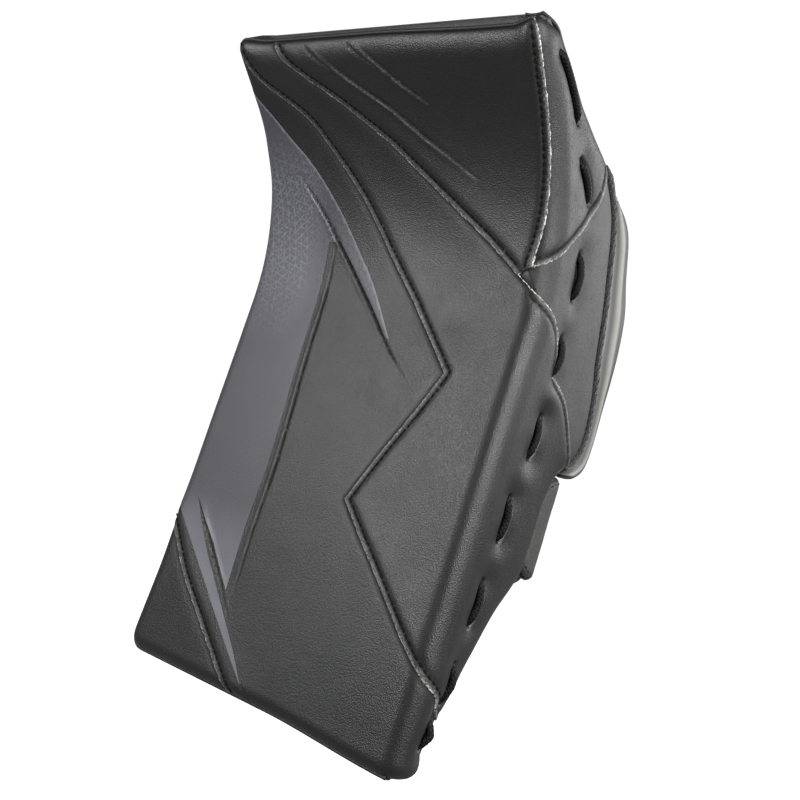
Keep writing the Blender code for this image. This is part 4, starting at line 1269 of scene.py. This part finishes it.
THUMB = (81.5, 80.5)
THUMB_TOP, THUMB_SPLIT, THUMB_END = 158.0, 131.5, 101.5
ELBOW = [(50.6, 49, 190, 1, 0, 0, 11, 15), (61, 53, 189.5, 1, 0.35, -0.1, 11, 14.5),
         (71, 62, 183, 0.8, 0.6, -0.8, 11.2, 13), (75.5, 71.5, 173.5, 0.3, 0.5, -1, 11.4, 11.6),
         (81.5, 80.5, 158.4, 0, 0, -1, 11.5, 11.5)]


def thumb():
    stations = smooth(ELBOW, 2.2)
    outside, inside = [], []
    for k, station in enumerate(stations):
        centre, along, (half_u, half_v) = station[:3], station[3:6], station[6:]
        loop, turn = sleeve_loop(centre, along, 1.0, 1.0, 2.0)
        away = loop - centre
        axes = np.column_stack((half_u * np.cos(turn), half_v * np.sin(turn)))
        scale = np.hypot(axes[:, 0], axes[:, 1])
        fold = 0.5 * bump(np.sin(k * 0.9 + 0.8 * np.sin(turn * 2)), 1.0, 0.5) * (0.6 + 0.4 * np.sin(turn + 1))
        outside.append(centre + away * (scale - fold)[:, None])
        inside.append(centre + away * (scale - 1.9)[:, None])
    rings_piece("thumb_elbow_sleeve", outside + inside[::-1], True, replaces=["thumb_elbow"])
    tip_bend = ("thumb_base", "thumb_tip", (*THUMB, THUMB_SPLIT + 6), (*THUMB, THUMB_SPLIT - 6))
    for name, node, top, low, joint, tip, bend in (
        ("thumb_upper", "thumb_base", THUMB_TOP + 6, THUMB_SPLIT + 7, THUMB_TOP, False,
         ("board", "thumb_base", (*THUMB, THUMB_TOP + 6), (*THUMB, THUMB_TOP - 6))),
        ("thumb_lower", "thumb_tip", THUMB_SPLIT + 8, THUMB_END, THUMB_SPLIT, True, tip_bend),
    ):
        radius = 11.2 if tip else 11.5

        def loop(z, share, thin):
            middle = np.array((*THUMB, z))
            points, turn = sleeve_loop(middle, (0, 0, -1), 1.0, 1.0, 2.0)
            fold = np.zeros(len(turn)) if thin else 0.7 * fold_depth(z, turn, (joint,), 0.4) * share
            fold = fold - (0 if thin else 0.4 * bump(z, THUMB_END + 12.5, 0.7))
            return middle + (points - middle) * ((radius - thin) * share - fold).reshape(-1, 1)

        rings_piece(f"{name}_sleeve", sleeve_rings(loop, top, low, radius, SLEEVE_WALL, tip), not tip,
                    bend=bend, replaces=[node])

    middle_radius = 13.8
    start_turn = math.radians(-44)

    def round_thumb(places, radius):
        turn = start_turn + places[:, 0] / middle_radius
        x, y = THUMB[0] + radius * np.cos(turn), THUMB[1] + radius * np.sin(turn)
        return np.column_stack((x, y, places[:, 1]))

    reach = middle_radius * math.radians(184)
    low_end, high_end, round_low, round_high = 107.8, 168.0, 15.0, 22.0
    right_side = []
    low_levels = np.linspace(low_end, low_end + round_low, 9)
    for z in (*low_levels, *np.linspace(high_end - round_high, high_end, 9)):
        into = max(low_end + round_low - z, 0) / round_low + max(z - high_end + round_high, 0) / round_high
        right_side.append((reach / 2 * (0.12 + 0.88 * math.sqrt(max(1 - into**2.2, 0.0))), z))
    right_side = np.array(right_side)
    outline = np.vstack((right_side, right_side[::-1] * (-1, 1)))
    outline = smooth([*outline, outline[0]], 2.0)[:-1] + (reach / 2, 0)
    cushion("thumb_pad", outline, round_thumb, 11.9, 16.0, LEATHER_PAD, radius=4.5, level=0.15, waves=0.12,
            pitch=1.8, fill=0.9, bend=tip_bend, replaces=["thumb_base_pad", "thumb_tip_pad"],
            slot="black_leather")
    path = round_thumb(inset_loop(outline, 2.6), 15.2)
    normals = (path - (*THUMB, 0)) * (1, 1, 0)
    normals /= np.linalg.norm(normals, axis=1)[:, None]
    thread_row("thumb_pad_stitches", path, normals, bend=tip_bend, slot="black_leather")
    turn = np.radians(np.arange(-150, 150, 6))
    out = np.column_stack((np.cos(turn), np.sin(turn), np.zeros(len(turn))))
    thread_row("thumb_tip_stitches", (*THUMB, 111.6) + 11.35 * out, out, pitch=2.6, body="thumb_tip",
               slot="black_leather")


HAND_LOW = 118.4  # the palm's lower edge
BOARD_BACK = 24.6  # depth at which the hand's pieces meet the board


def hand():
    """The palm, the pad behind the hand's back, the gussets and the finger guards."""
    cushion("hand_pad", round_box(-57.2, 47, HAND_LOW, 214.6, 5), facing_back, BOARD_BACK, 33, MESH_PAD,
            radius=5, level=0.25, channels=[[(x, 121), (x, 212)] for x in (-31, -5, 21)], fill=0.7,
            replaces=["hand_back_pad"], slot="foam")
    cushion("gusset_outer_leather", round_box(BOARD_BACK, 60, HAND_LOW, 204.6, 3), facing_side, -60, -57.6,
            PALM_SUEDE, radius=1.2, waves=0.5, fill=0.2, replaces=["gusset_outer"], slot="palm_leather")
    notch = np.array([(BOARD_BACK, HAND_LOW), (60, HAND_LOW), (60, 177), (40, 177), (40, 203), (60, 203),
                      (60, 211.6), (BOARD_BACK, 211.6)], float)
    cushion("gusset_thumb_leather", notch, facing_side, 47.4, 49.8, PALM_SUEDE, radius=1.2, waves=0.5,
            fill=0.2, replaces=["gusset_thumb"], slot="palm_leather")
    outline = round_box(-60, 49.8, HAND_LOW, 204.6, 6)
    creases = [smooth(line, 4) for line in (
        [(-44, 150), (-20, 158), (4, 164), (26, 163), (44, 156)],
        [(-48, 168), (-26, 178), (-4, 180), (14, 174)],
        [(30, 196), (22, 184), (24, 168)],
    )]
    cushion("palm_leather_sheet", outline, facing_back, 60.6, 63.4, PALM_SUEDE, radius=1.4, level=0.4,
            channels=creases, cut=0.5, width=1.1, waves=0.55, pitch=2.0, fill=0.2, replaces=["palm"],
            slot="palm_leather")
    patch = round_box(-38, 42, 128, 176, 14)
    cushion("palm_patch_leather", patch, facing_back, 63.2, 65.2, PALM_PATCH, radius=1.2, level=0.2,
            waves=0.4, pitch=2.0, fill=0.2, replaces=["palm_patch"], slot="palm_leather")
    for name, edge, inset, y in (("palm_patch", patch, 2.4, 65.0), ("palm_edge", outline, 3.0, 63.1)):
        thread_row(f"{name}_stitches", facing_back(inset_loop(edge, inset), y), (0, 1, 0),
                   slot="palm_leather")
    welt("palm_binding", facing_back(outline, 62.0), 1.3, PALM_SUEDE, slot="palm_leather")
    for finger, depth, up, corner, (low_x, high_x, welt_x), radius, line_end, line_levels in (
        ("little", (BOARD_BACK, 56), (62, 200), 9, (-60.4, -72, -62.6), 7, 54, range(84, 190, 22)),
        ("index", (BOARD_BACK, 50), (50, 168), 8, (50.2, 60, 52.2), 6, 48, range(70, 160, 22)),
    ):
        lines = [[(26, z), (line_end, z)] for z in line_levels]
        cushion(f"{finger}_finger_pad", round_box(*depth, *up, corner), facing_side, low_x, high_x,
                LEATHER_PAD, radius=radius, level=0.2, channels=lines, fill=0.8,
                replaces=[f"{finger}_finger_guard"], slot="black_leather")
        edge = round_box(depth[0] + 0.3, depth[1] - 0.3, up[0] + 0.3, up[1] - 0.3, corner)
        welt(f"{finger}_finger_pad_welt", facing_side(edge, welt_x), 1.1, LEATHER_COVER, slot="black_leather")


def cuff():
    """The cuff's padded walls, its liner and tab."""
    cushion("cuff_back_pad", round_box(-57.2, 47, 215, 300, 5), facing_back, 26, 33, LEATHER_PAD, radius=4,
            channels=[[(-54, z), (44, z)] for z in (243, 271)], fill=0.7, replaces=["cuff_back"],
            slot="black_leather")
    for name, (y, z, x, node) in {
        "cuff_outer_pad": ((26, 83), (205, 300), (-57.6, -66.2), "cuff_wing_outer"),
        "cuff_thumb_pad": ((26, 77.6), (212, 300), (47.4, 56), "cuff_wing_thumb"),
    }.items():
        outline = round_box(*y, *z, 11)
        lines = [[(y[0] + 5, z[0] + rise), (y[1] - 5, z[0] + rise)] for rise in (30, 60)]
        cushion(name, outline, facing_side, *x, LEATHER_PAD, radius=4.2, level=0.45, channels=lines,
                fill=0.8, replaces=[node], slot="black_leather")
        edge = facing_side(outline, x[0] + 0.45 * (x[1] - x[0]))
        welt(f"{name}_binding", edge, 1.5, BINDING, slot="webbing")
        out = 1.0 if x[1] > x[0] else -1.0
        thread_row(f"{name}_stitches", facing_side(inset_loop(outline, 5.0), x[1] - 0.12 * out), (out, 0, 0),
                   slot="black_leather")
    path = np.array([(-56.7, 76), (-56.7, 50), (-56.5, 38), (-54, 34.6), (-44, 33.9), (0, 33.7), (34, 33.9),
                     (44, 34.6), (46.3, 38), (46.5, 50), (46.5, 75)], float)
    path = resample(smooth(path, 2.0), 2.0)
    levels = np.arange(217, 298.5, 2.0)
    ruffle = np.array([[noise.noise(Vector((a / 12.0, z / 16.0, 5.0))) for a in range(0, 2 * len(path), 2)]
                       for z in levels])
    inward = beside(path, -1.0) - path
    outside, inside = [], []
    for k, z in enumerate(levels):
        at = path + inward * (0.25 + 0.25 * ruffle[k])[:, None]
        outside.append(np.column_stack((at, np.full(len(at), z))))
        inside.append(np.column_stack((at + inward * 0.8, np.full(len(at), z))))
    faces = sheet_faces(grid_faces(len(levels), len(path)), len(levels) * len(path))
    liner = mesh_piece("cuff_lining", np.vstack(outside + inside), faces, MESH_LINING, outward=True,
                       replaces=["cuff_liner"], slot="black_mesh")
    width = float(distances(path)[-1]) * MM
    tab = round_box(18, 56, 226, 284, 7)
    cushion("cuff_tab_leather", tab, facing_back, 78, 80, LEATHER_PAD, radius=1.4, waves=0.3, fill=0.2,
            replaces=["cuff_tab"], slot="black_leather")
    thread_row("cuff_tab_stitches", facing_back(inset_loop(tab, 2.6), 79.9), (0, 1, 0), slot="black_leather")


def strap():
    """The webbing strap, sewn to the cuff's outer side, with its hook patch and pull tab."""
    route = smooth([(-67.6, 50), (-67.6, 66), (-67.4, 78), (-65.8, 83), (-62, 84.6), (-54, 84.6), (-20, 84.6),
                    (20, 84.7), (60, 84.6)], 1.5)
    route = resample(route, 1.5)
    left = beside(route, 1.0) - route
    across = np.linspace(0, 1, 25)
    half = 1.0 - 0.35 * np.abs(2 * across - 1) ** 6
    front, back = [], []
    for share, thick in zip(across, half):
        z = 237.4 + 35.2 * share
        rib = 0.10 * math.cos(share * 2 * math.pi * 9)
        front.append(np.column_stack((route + left * (thick * 0.9 + rib), np.full(len(route), z))))
        back.append(np.column_stack((route - left * (thick * 0.9), np.full(len(route), z))))
    faces = sheet_faces(grid_faces(len(across), len(route)), len(across) * len(route))
    mesh_piece("wrist_strap_webbing", np.vstack(front + back), faces, WEBBING, outward=True,
               bend=("board", "strap", (-62.5, 84.6, 255), (-52, 84.6, 255)),
               replaces=["wrist_strap", "strap_anchor"], slot="webbing")
    box = [(56, 240), (75, 240), (75, 270), (56, 270), (56, 240), (75, 270), (56, 270), (75, 240)]
    thread_row("strap_box_stitches", [(-68.7, y, z) for y, z in box], (-1, 0, 0), slot="webbing")
    loops = round_box(22, 52, 238, 272, 2)
    hooks = round_box(24, 50, 239, 271, 2)
    cushion("strap_loops", loops, facing_back, 80.3, 81.7, PILE, radius=1.0, waves=0.3, pitch=1.8, fill=None,
            replaces=["strap_loop_patch"], slot="webbing")
    cushion("strap_hooks", hooks, facing_back, 81.9, 83.4, HOOKS, radius=0.8, waves=0.1, pitch=1.8, fill=None,
            body="strap", replaces=["strap_hook_patch"], slot="webbing")
    thread_row("strap_patch_stitches", facing_back(inset_loop(hooks, 1.6), 85.7), (0, 1, 0), body="strap",
               slot="webbing")
    grips = [[(x, 244), (x, 266)] for x in (64.5, 67.5, 70.5)]
    cushion("strap_tab", round_box(58, 74, 241, 269, 5), facing_back, 83.0, 86.4, RUBBER, radius=1.6,
            channels=grips, cut=0.4, width=0.9, waves=0.05, pitch=1.4, fill=None, body="strap",
            replaces=["strap_pull_tab"], slot="smooth_leather")


def core_points(places, height):
    """The inner corner of the board's core below each place of the rolled front."""
    x = np.where(places[:, 0] > FLAT_END, FLAT_END + (places[:, 0] - FLAT_END) * 0.46, places[:, 0])
    y, z = on_bend(places[:, 1], np.full(len(x), height))
    return np.column_stack((x, y, z))


WALL_FRONT = WALL_START + 14.6  # girth at which the wall's own foam and lining begin
# x at which the wall's foam, lining and rear cover end inside it
FOAM_INSIDE, LINING_INSIDE, COVER_INSIDE = 90.2, 88.4, 87.4


def rear_line(inset):
    """The wall's rear edge, drawn in by an inset."""
    return np.vstack((beside(REAR_LOWER, inset), beside(REAR_WING, inset)[1:], beside(REAR_UPPER, inset)[1:]))


def cores():
    """The foam under the skins, the cover over the board's back and the wall's inside."""
    round_end = FLAT_END + ROLL * math.pi / 2
    outline = round_box(-SIDE + 2.2, round_end, 2.2, LENGTH - 2.2, 6)
    places, faces = triangulate(outline, pitch=5.0)
    top = on_skin(places, relief(places) - 2.5)
    faces = sheet_faces(faces, len(places))
    core = mesh_piece("front_foam", np.vstack((top, core_points(places, 12.0))), faces, FOAM, outward=True,
                      replaces=["board_foam_front"], slot="foam")
    rear = rear_line(1.6)
    outline = np.vstack(([(WALL_FRONT, 4)], rear[rear[:, 1] > 8], [(WALL_FRONT, 372)]))
    places, faces = triangulate(outline, fine=lace_runs(), pitch=3.2)
    top = on_skin(places, relief(places) - 2.9)
    bottom = top.copy()
    bottom[:, 0] = FOAM_INSIDE
    faces = sheet_faces(faces, len(places))
    core = mesh_piece("side_foam", np.vstack((top, bottom)), faces, FOAM, outward=True,
                      replaces=["wall_foam"], slot="foam")
    quilting = [[(-94, up), (79, up)] for up in (52, 100, 300, 338)] + [[(-70, 100), (-70, 300)]]
    for name, inset, low, high, material, node, slot in (
        ("back_foam", 1.2, 15.8, 22.2, FOAM, "board_foam_back", "foam"),
        ("back_cover", 0.0, 15.6, 24.2, BACK_NYLON, "board_back_cover", "black_mesh"),
    ):
        outline = round_box(-97 + inset, 83 - inset, 5 + inset, 376 - inset, 7)
        rows = offset_rows([resample(q, 3.0) for q in quilting], (-2, -1, 0, 1, 2))
        places, faces = triangulate(outline, rows, pitch=3.2)
        full = crown(near_line(places, looped(outline))[0], 3.4)
        dip = sum(0.9 * bump(near_line(places, np.array(q, float))[0], 0, 2.0) for q in quilting)
        depth = low + (high - low) * full - dip * full - 0.25 * (1 + unevenness(places, 23.0, 6.0)) * full
        base = np.full(len(places), low) if name == "back_foam" else depth - 1.0
        faces = sheet_faces(faces, len(places))
        obj = mesh_piece(name, np.vstack((on_board_back(places, depth), on_board_back(places, base))), faces,
                         material, outward=True, replaces=[node], slot=slot)
    rear = rear_line(3.0)
    rear = rear[(rear[:, 1] > 40) & (rear[:, 1] < 338)]
    outline = np.vstack(([(WALL_FRONT, 40)], rear, [(WALL_FRONT, 338)]))
    places, faces = triangulate(outline, pitch=3.0)
    faces = sheet_faces(faces, len(places))
    inner = LINING_INSIDE + 0.5 * unevenness(places, 20.0, 2.0)
    behind = places - (WALL_START, 0)
    liner = mesh_piece("side_lining", np.vstack((in_wall(behind, inner), in_wall(behind, inner + 1.0))),
                       faces, MESH_LINING, outward=True, replaces=["wall_liner"], slot="black_mesh")


def rear_cover(name, line, bulge=0.9):
    """Leather that closes the wall's rear edge, from the outside skin to the lining."""
    line = resample(line, 2.0)
    y, z = on_bend(line[:, 1], line[:, 0] - WALL_START)
    path = np.column_stack((y, z))
    middle = len(path) // 2
    inside_point = np.array((0.0, path[middle][1]))
    out = beside(path, 1.0) - path
    if np.dot(out[middle], inside_point - path[middle]) > 0:
        out = -out
    across = np.linspace(0, 1, 12)
    start = SIDE + np.minimum(relief(line), 0.0) - 0.9
    outer, inner = [], []
    for share in across:
        x = start - (start - COVER_INSIDE) * share
        lift = bulge * math.sin(math.pi * share) ** 0.7 - 0.7
        outer.append(np.column_stack((x, path + out * lift)))
        inner.append(np.column_stack((x, path + out * (lift - 1.2))))
    faces = sheet_faces(grid_faces(len(across), len(path)), len(across) * len(path))
    mesh_piece(name, np.vstack(outer + inner), faces, LEATHER_COVER, outward=True, slot="black_leather")


# The guard's rear edge, as (distance up, depth)
GUARD_EDGE = [(169, 84), (169.5, 93), (179, 101), (197, 103), (222, 101), (249, 99), (264, 92), (285, 85),
              (297, 67)]


def in_wall(places, x):
    """Places as (depth, up) behind the face, at one x or at one for each."""
    y, z = on_bend(places[:, 1], places[:, 0])
    return np.column_stack((np.full(len(places), x), y, z))


def guard():
    """The pale guard behind the wing, the knitted trim before it and the dark binding on its edge."""
    wing = REAR_WING - (WALL_START, 0)
    outer = smooth([(depth, up) for up, depth in GUARD_EDGE], 2.0)
    further = 2.2 * ramp(outer[:, 1], 168, 176) + 2.4 * ramp(outer[:, 1], 200, 238)
    further *= 1 - ramp(outer[:, 1], 278, 292)
    outer = outer + further[:, None] * (1.0, 0.0)
    inner = beside(wing, -3.6)
    inner = inner[(inner[:, 1] > outer[0][1] + 1) & (inner[:, 1] < 296)]
    outline = np.vstack((inner, outer[::-1]))
    rows = offset_rows([resample(outer, 1.0)], (0.5, 1.2, 2.2, 3.4))
    places, faces = triangulate(outline, rows, pitch=1.3)
    edge = near_line(places, looped(outline))[0]
    to_outer = near_line(places, outer)[0]
    to_inner = near_line(places, inner)[0]
    share = to_inner / (to_inner + to_outer + 1e-6)
    round_edge = crown(edge, 2.2)
    ridge = 1.1 * np.exp(-(((share - 0.55) / 0.22) ** 2)) - 0.7 * np.exp(-(((share - 0.2) / 0.12) ** 2))
    high = 96.0 + 4.3 * round_edge + ridge * round_edge
    low = 92.0 - 1.5 * round_edge
    faces = sheet_faces(faces, len(places))
    plate = mesh_piece("thumb_guard_plate", np.vstack((in_wall(places, high), in_wall(places, low))), faces,
                       GUARD_FILM, outward=True, sharp=60, replaces=["thumb_guard"], slot="guard_film")
    # How far across the guard each point lies, for its painted highlight
    point_values(plate, "highlight_share", np.tile(share, 2))
    cord = in_wall(resample(beside(wing, -1.75), 0.6), SIDE - 1.6)
    length = distances(cord)[-1]

    def knit(run, turn):
        ends = min(1.0, 0.25 + run / 9.0, 0.25 + (length - run) / 9.0)
        return ends * (0.93 + 0.16 * math.sin(5 * turn + run * 2.6) * math.sin(run * 4.1))

    tube_piece("wing_trim", cord, 2.3, KNIT, sides=20, profile=knit, replaces=["wing_piping"],
               slot="black_mesh")
    line = resample(beside(outer, 0.9)[1:-1], 1.0)
    line = line[(line[:, 1] > 226) & (line[:, 1] < 284)]
    binding = in_wall(line, 97.6)
    length_edge = distances(binding)[-1]

    def taper(run, _):
        return min(1.0, 0.05 + run / 14.0, 0.05 + (length_edge - run) / 14.0)

    tube_piece("guard_edge_binding", binding, 2.0, BINDING, sides=12, profile=taper,
               replaces=["guard_binding"], slot="webbing")


def woven(name, colour, pitch, axes, roughness=0.75, depth=0.12, sheen=0.3):
    """A plain weave of threads along two of the object's axes."""
    s = Shader(name, roughness, sheen=sheen)
    split = s.node("SeparateXYZ", {0: s.place()})
    waves = [s.math("SINE", s.math("MULTIPLY", split.outputs[axis], math.pi / pitch)) for axis in axes]
    over = s.math("MULTIPLY", waves[0], waves[1])
    height = s.math("ABSOLUTE", over)
    s.set("Normal", s.bump(height, depth))
    uneven = s.noise(6.0, 3.0, 0.6)
    shade = s.mix(s.range(over, -1, 1), times(colour, 0.6), times(colour, 1.35))
    s.set("Base Color", s.mix(s.range(uneven, 0.3, 0.7, 0, 0.4), shade, times(colour, 0.7)))
    return s.material


def knitted(name, colour, size, roughness=0.85, depth=0.3):
    """Open knitted mesh: small dark holes between loops of yarn."""
    s = Shader(name, roughness, sheen=0.5)
    cells = s.cells(size, randomness=0.25)
    hole = s.range(cells, 0.2, 0.42)
    s.set("Normal", s.bump(s.math("MULTIPLY_ADD", s.noise(0.3, 3.0), 0.3, hole), depth))
    s.set("Base Color", s.mix(hole, times(colour, 0.15), colour))
    return s.material


def suede(name, colour):
    """Soft palm leather with a short nap and fine creases."""
    s = Shader(name, 0.9, sheen=0.6, specular=0.25)
    nap = s.noise(0.35, 5.0, 0.7)
    folds = s.noise(7.0, 5.0, 0.6)
    s.set("Normal", s.bump(s.math("MULTIPLY_ADD", folds, 2.0, nap), 0.22))
    tone = s.noise(16.0, 4.0, 0.6)
    shade = s.mix(s.range(tone, 0.3, 0.7), times(colour, 0.7), times(colour, 1.3))
    s.set("Base Color", s.mix(s.range(nap, 0.4, 0.65, 0, 0.35), shade, times(colour, 1.9)))
    return s.material


def foam_cells(name, colour):
    """Open foam with small cells."""
    s = Shader(name, 0.95, specular=0.2)
    cells = s.cells(0.9)
    s.set("Normal", s.bump(cells, 0.3))
    s.set("Base Color", s.mix(s.range(cells, 0.1, 0.5), times(colour, 0.5), colour))
    return s.material


def guard_film(name):
    """Satin film over the guard: a painted highlight as a bright band along it between duller ones, with fine
    scuffs.
    """
    s = Shader(name, 0.55, specular=0.12)
    share = s.value("highlight_share")
    # Painted highlight: a bright band across the middle of the guard, darker towards both sides
    rise = s.range(share, 0.32, 0.46)
    fall = s.range(share, 0.66, 0.54)
    band = s.math("MULTIPLY", rise, fall)
    shade = s.mix(band, (0.115, 0.114, 0.111), (0.25, 0.247, 0.235))
    dull = s.math("MAXIMUM", s.range(share, 0.0, 0.12, 1.0, 0.0), s.range(share, 0.60, 0.78))
    shade = s.mix(dull, shade, (0.045, 0.045, 0.045))
    scuffs = s.noise(1.2, 5.0, 0.7)
    s.set("Base Color", s.mix(s.range(scuffs, 0.45, 0.75, 0, 0.3), shade, (0.10, 0.10, 0.10)))
    s.set("Roughness", s.range(scuffs, 0.3, 0.7, 0.26, 0.42))
    s.set("Normal", s.bump(s.noise(9.0, 3.0), 0.25))
    return s.material


def moulded(name, colour, roughness=0.45):
    """Hard sheet or rubber with a fine moulded texture and faint scratches."""
    s = Shader(name, roughness)
    fine = s.noise(0.25, 3.0, 0.6)
    broad = s.noise(12.0, 4.0, 0.6)
    s.set("Normal", s.bump(fine, 0.04))
    s.set("Base Color", s.mix(s.range(broad, 0.3, 0.7), times(colour, 0.85), times(colour, 1.15)))
    s.set("Roughness", s.range(broad, 0.3, 0.7, roughness - 0.06, roughness + 0.1))
    return s.material


LEATHER_FINGER = grained_leather("finger_leather", (0.024, 0.0235, 0.023), 0.5, 0.7, 0.06, wear_and_highlight=False)
LEATHER_PAD = grained_leather("pad_leather", (0.055, 0.0545, 0.053), 0.52, 0.7, 0.05, wear_and_highlight=False)
PALM_SUEDE = suede("palm_suede", (0.045, 0.041, 0.037))
PALM_PATCH = suede("palm_patch_suede", (0.026, 0.025, 0.024))
MESH_PAD = knitted("air_mesh", (0.030, 0.030, 0.032), 2.6)
MESH_LINING = knitted("lining_mesh", (0.028, 0.028, 0.031), 1.5, depth=0.15)
KNIT = knitted("knitted_trim", (0.014, 0.014, 0.014), 0.9, roughness=0.8, depth=0.6)
BACK_NYLON = woven("back_nylon", (0.020, 0.020, 0.022), 0.8, (0, 2))
WEBBING = woven("strap_webbing", (0.018, 0.018, 0.019), 1.1, (0, 2), depth=0.2)
BINDING = woven("edge_binding", (0.006, 0.006, 0.0065), 0.6, (1, 2), roughness=0.9, sheen=0.0)
PILE = knitted("loop_pile", (0.020, 0.020, 0.021), 0.6, depth=0.35)
HOOKS = knitted("hook_tape", (0.014, 0.014, 0.015), 0.9, roughness=0.6, depth=0.35)
RUBBER = moulded("moulded_rubber", (0.016, 0.016, 0.016), 0.5)
FOAM = foam_cells("foam_core", (0.10, 0.10, 0.105))
GUARD_FILM = guard_film("guard_film_skin")
frame["nodes"]["board_stiffener"].data.materials[0] = moulded("stiffener_sheet", (0.05, 0.05, 0.055))

cores()
rear_cover("wall_rear_cover_low", REAR_LOWER)
rear_cover("wall_rear_cover_top", REAR_UPPER)
rear_cover("wall_rear_cover_wing", REAR_WING, 0.2)
guard()
hand()
fingers()
thumb()
cuff()
strap()


# Camera, light and floor

CAMERA_TURNS = (38.557, -7.998, 17.987)  # azimuth, elevation and roll, in degrees
CAMERA_AT = (0.3782, -0.4759, -0.0690)
# Each softbox: its place, its width and height, its power in watts
SOFTBOXES = {
    "key_softbox": ((-0.565, -1.27, 0.18), (0.5, 0.45), 13.6),
    "side_softbox": ((1.27, -0.34, 0.49), (0.5, 0.45), 17),
    "low_side_softbox": ((1.37, -0.2, 0.15), (0.45, 0.45), 5),
    "front_softbox": ((0.33, -1.33, 0.25), (0.5, 0.45), 2.5),
    "back_softbox": ((0.85, 1.05, 0.8), (1.2, 0.9), 16),
}


def studio():
    """The camera, softboxes aimed at the piece, the surroundings and a floor."""
    camera = bpy.data.objects.new("camera", bpy.data.cameras.new("camera"))
    link(camera)
    azimuth, elevation, roll = (math.radians(v) for v in CAMERA_TURNS)
    forward = -Vector((math.sin(azimuth) * math.cos(elevation), -math.cos(azimuth) * math.cos(elevation),
                       math.sin(elevation)))
    right = forward.cross(Vector((0, 0, 1))).normalized()
    up = right.cross(forward)
    turned_right = math.cos(roll) * right + math.sin(roll) * up
    turned_up = -math.sin(roll) * right + math.cos(roll) * up
    turned = Matrix((turned_right, turned_up, -forward)).transposed().to_4x4()
    camera.matrix_world = Matrix.Translation(CAMERA_AT) @ turned
    camera.data.lens = 46.4
    camera.data.sensor_width = 36.0
    camera.data.clip_start = 0.01
    bpy.context.scene.camera = camera

    for name, (at, size, power) in SOFTBOXES.items():
        light = bpy.data.objects.new(name, bpy.data.lights.new(name, "AREA"))
        light.data.shape = "RECTANGLE"
        light.data.size, light.data.size_y = size
        light.data.energy = power
        light.location = at
        light.rotation_mode = "QUATERNION"
        light.rotation_quaternion = (-Vector(at)).to_track_quat("-Z", "Y")
        link(light)

    scene_world = bpy.data.worlds.new("studio")
    bpy.context.scene.world = scene_world
    scene_world.use_nodes = True
    nodes, links = scene_world.node_tree.nodes, scene_world.node_tree.links
    shown = nodes["Background"]
    shown.inputs["Color"].default_value = (1, 1, 1, 1)
    direction, split = nodes.new("ShaderNodeTexCoord"), nodes.new("ShaderNodeSeparateXYZ")
    height = nodes.new("ShaderNodeMapRange")
    links.new(direction.outputs["Generated"], split.inputs[0])
    links.new(split.outputs[2], height.inputs["Value"])
    for key, value in (("From Min", -0.3), ("From Max", 0.3), ("To Min", 0.33), ("To Max", 0.18)):
        height.inputs[key].default_value = value
    links.new(height.outputs[0], shown.inputs["Strength"])
    backdrop = nodes.new("ShaderNodeBackground")
    backdrop.inputs["Color"].default_value = (1, 1, 1, 1)
    backdrop.inputs["Strength"].default_value = 1.05
    rays, mixed = nodes.new("ShaderNodeLightPath"), nodes.new("ShaderNodeMixShader")
    links.new(rays.outputs["Is Camera Ray"], mixed.inputs[0])
    links.new(shown.outputs[0], mixed.inputs[1])
    links.new(backdrop.outputs[0], mixed.inputs[2])
    links.new(mixed.outputs[0], nodes["World Output"].inputs[0])

    floor_mesh = bpy.data.meshes.new("floor")
    reach, level = 3.0, CAD_BOX[0].z - 0.02
    floor_mesh.from_pydata([(-reach, -reach, level), (reach, -reach, level), (reach, reach, level),
                            (-reach, reach, level)], [], [(0, 1, 2, 3)])
    floor = bpy.data.objects.new("floor", floor_mesh)
    link(floor)
    s = Shader("floor_paint", 0.9)
    s.set("Base Color", (0.85, 0.85, 0.85, 1))
    s.set("Emission Color", (1, 1, 1, 1))
    reach_out = s.node("VectorMath", {0: s.place()}, operation="LENGTH").outputs["Value"]
    s.set("Emission Strength", s.range(reach_out, 250.0, 900.0, 0.72, 1.0))
    floor_mesh.materials.append(s.material)
    floor.visible_diffuse = floor.visible_glossy = False
    bpy.context.scene.view_settings.view_transform = "Standard"


studio()
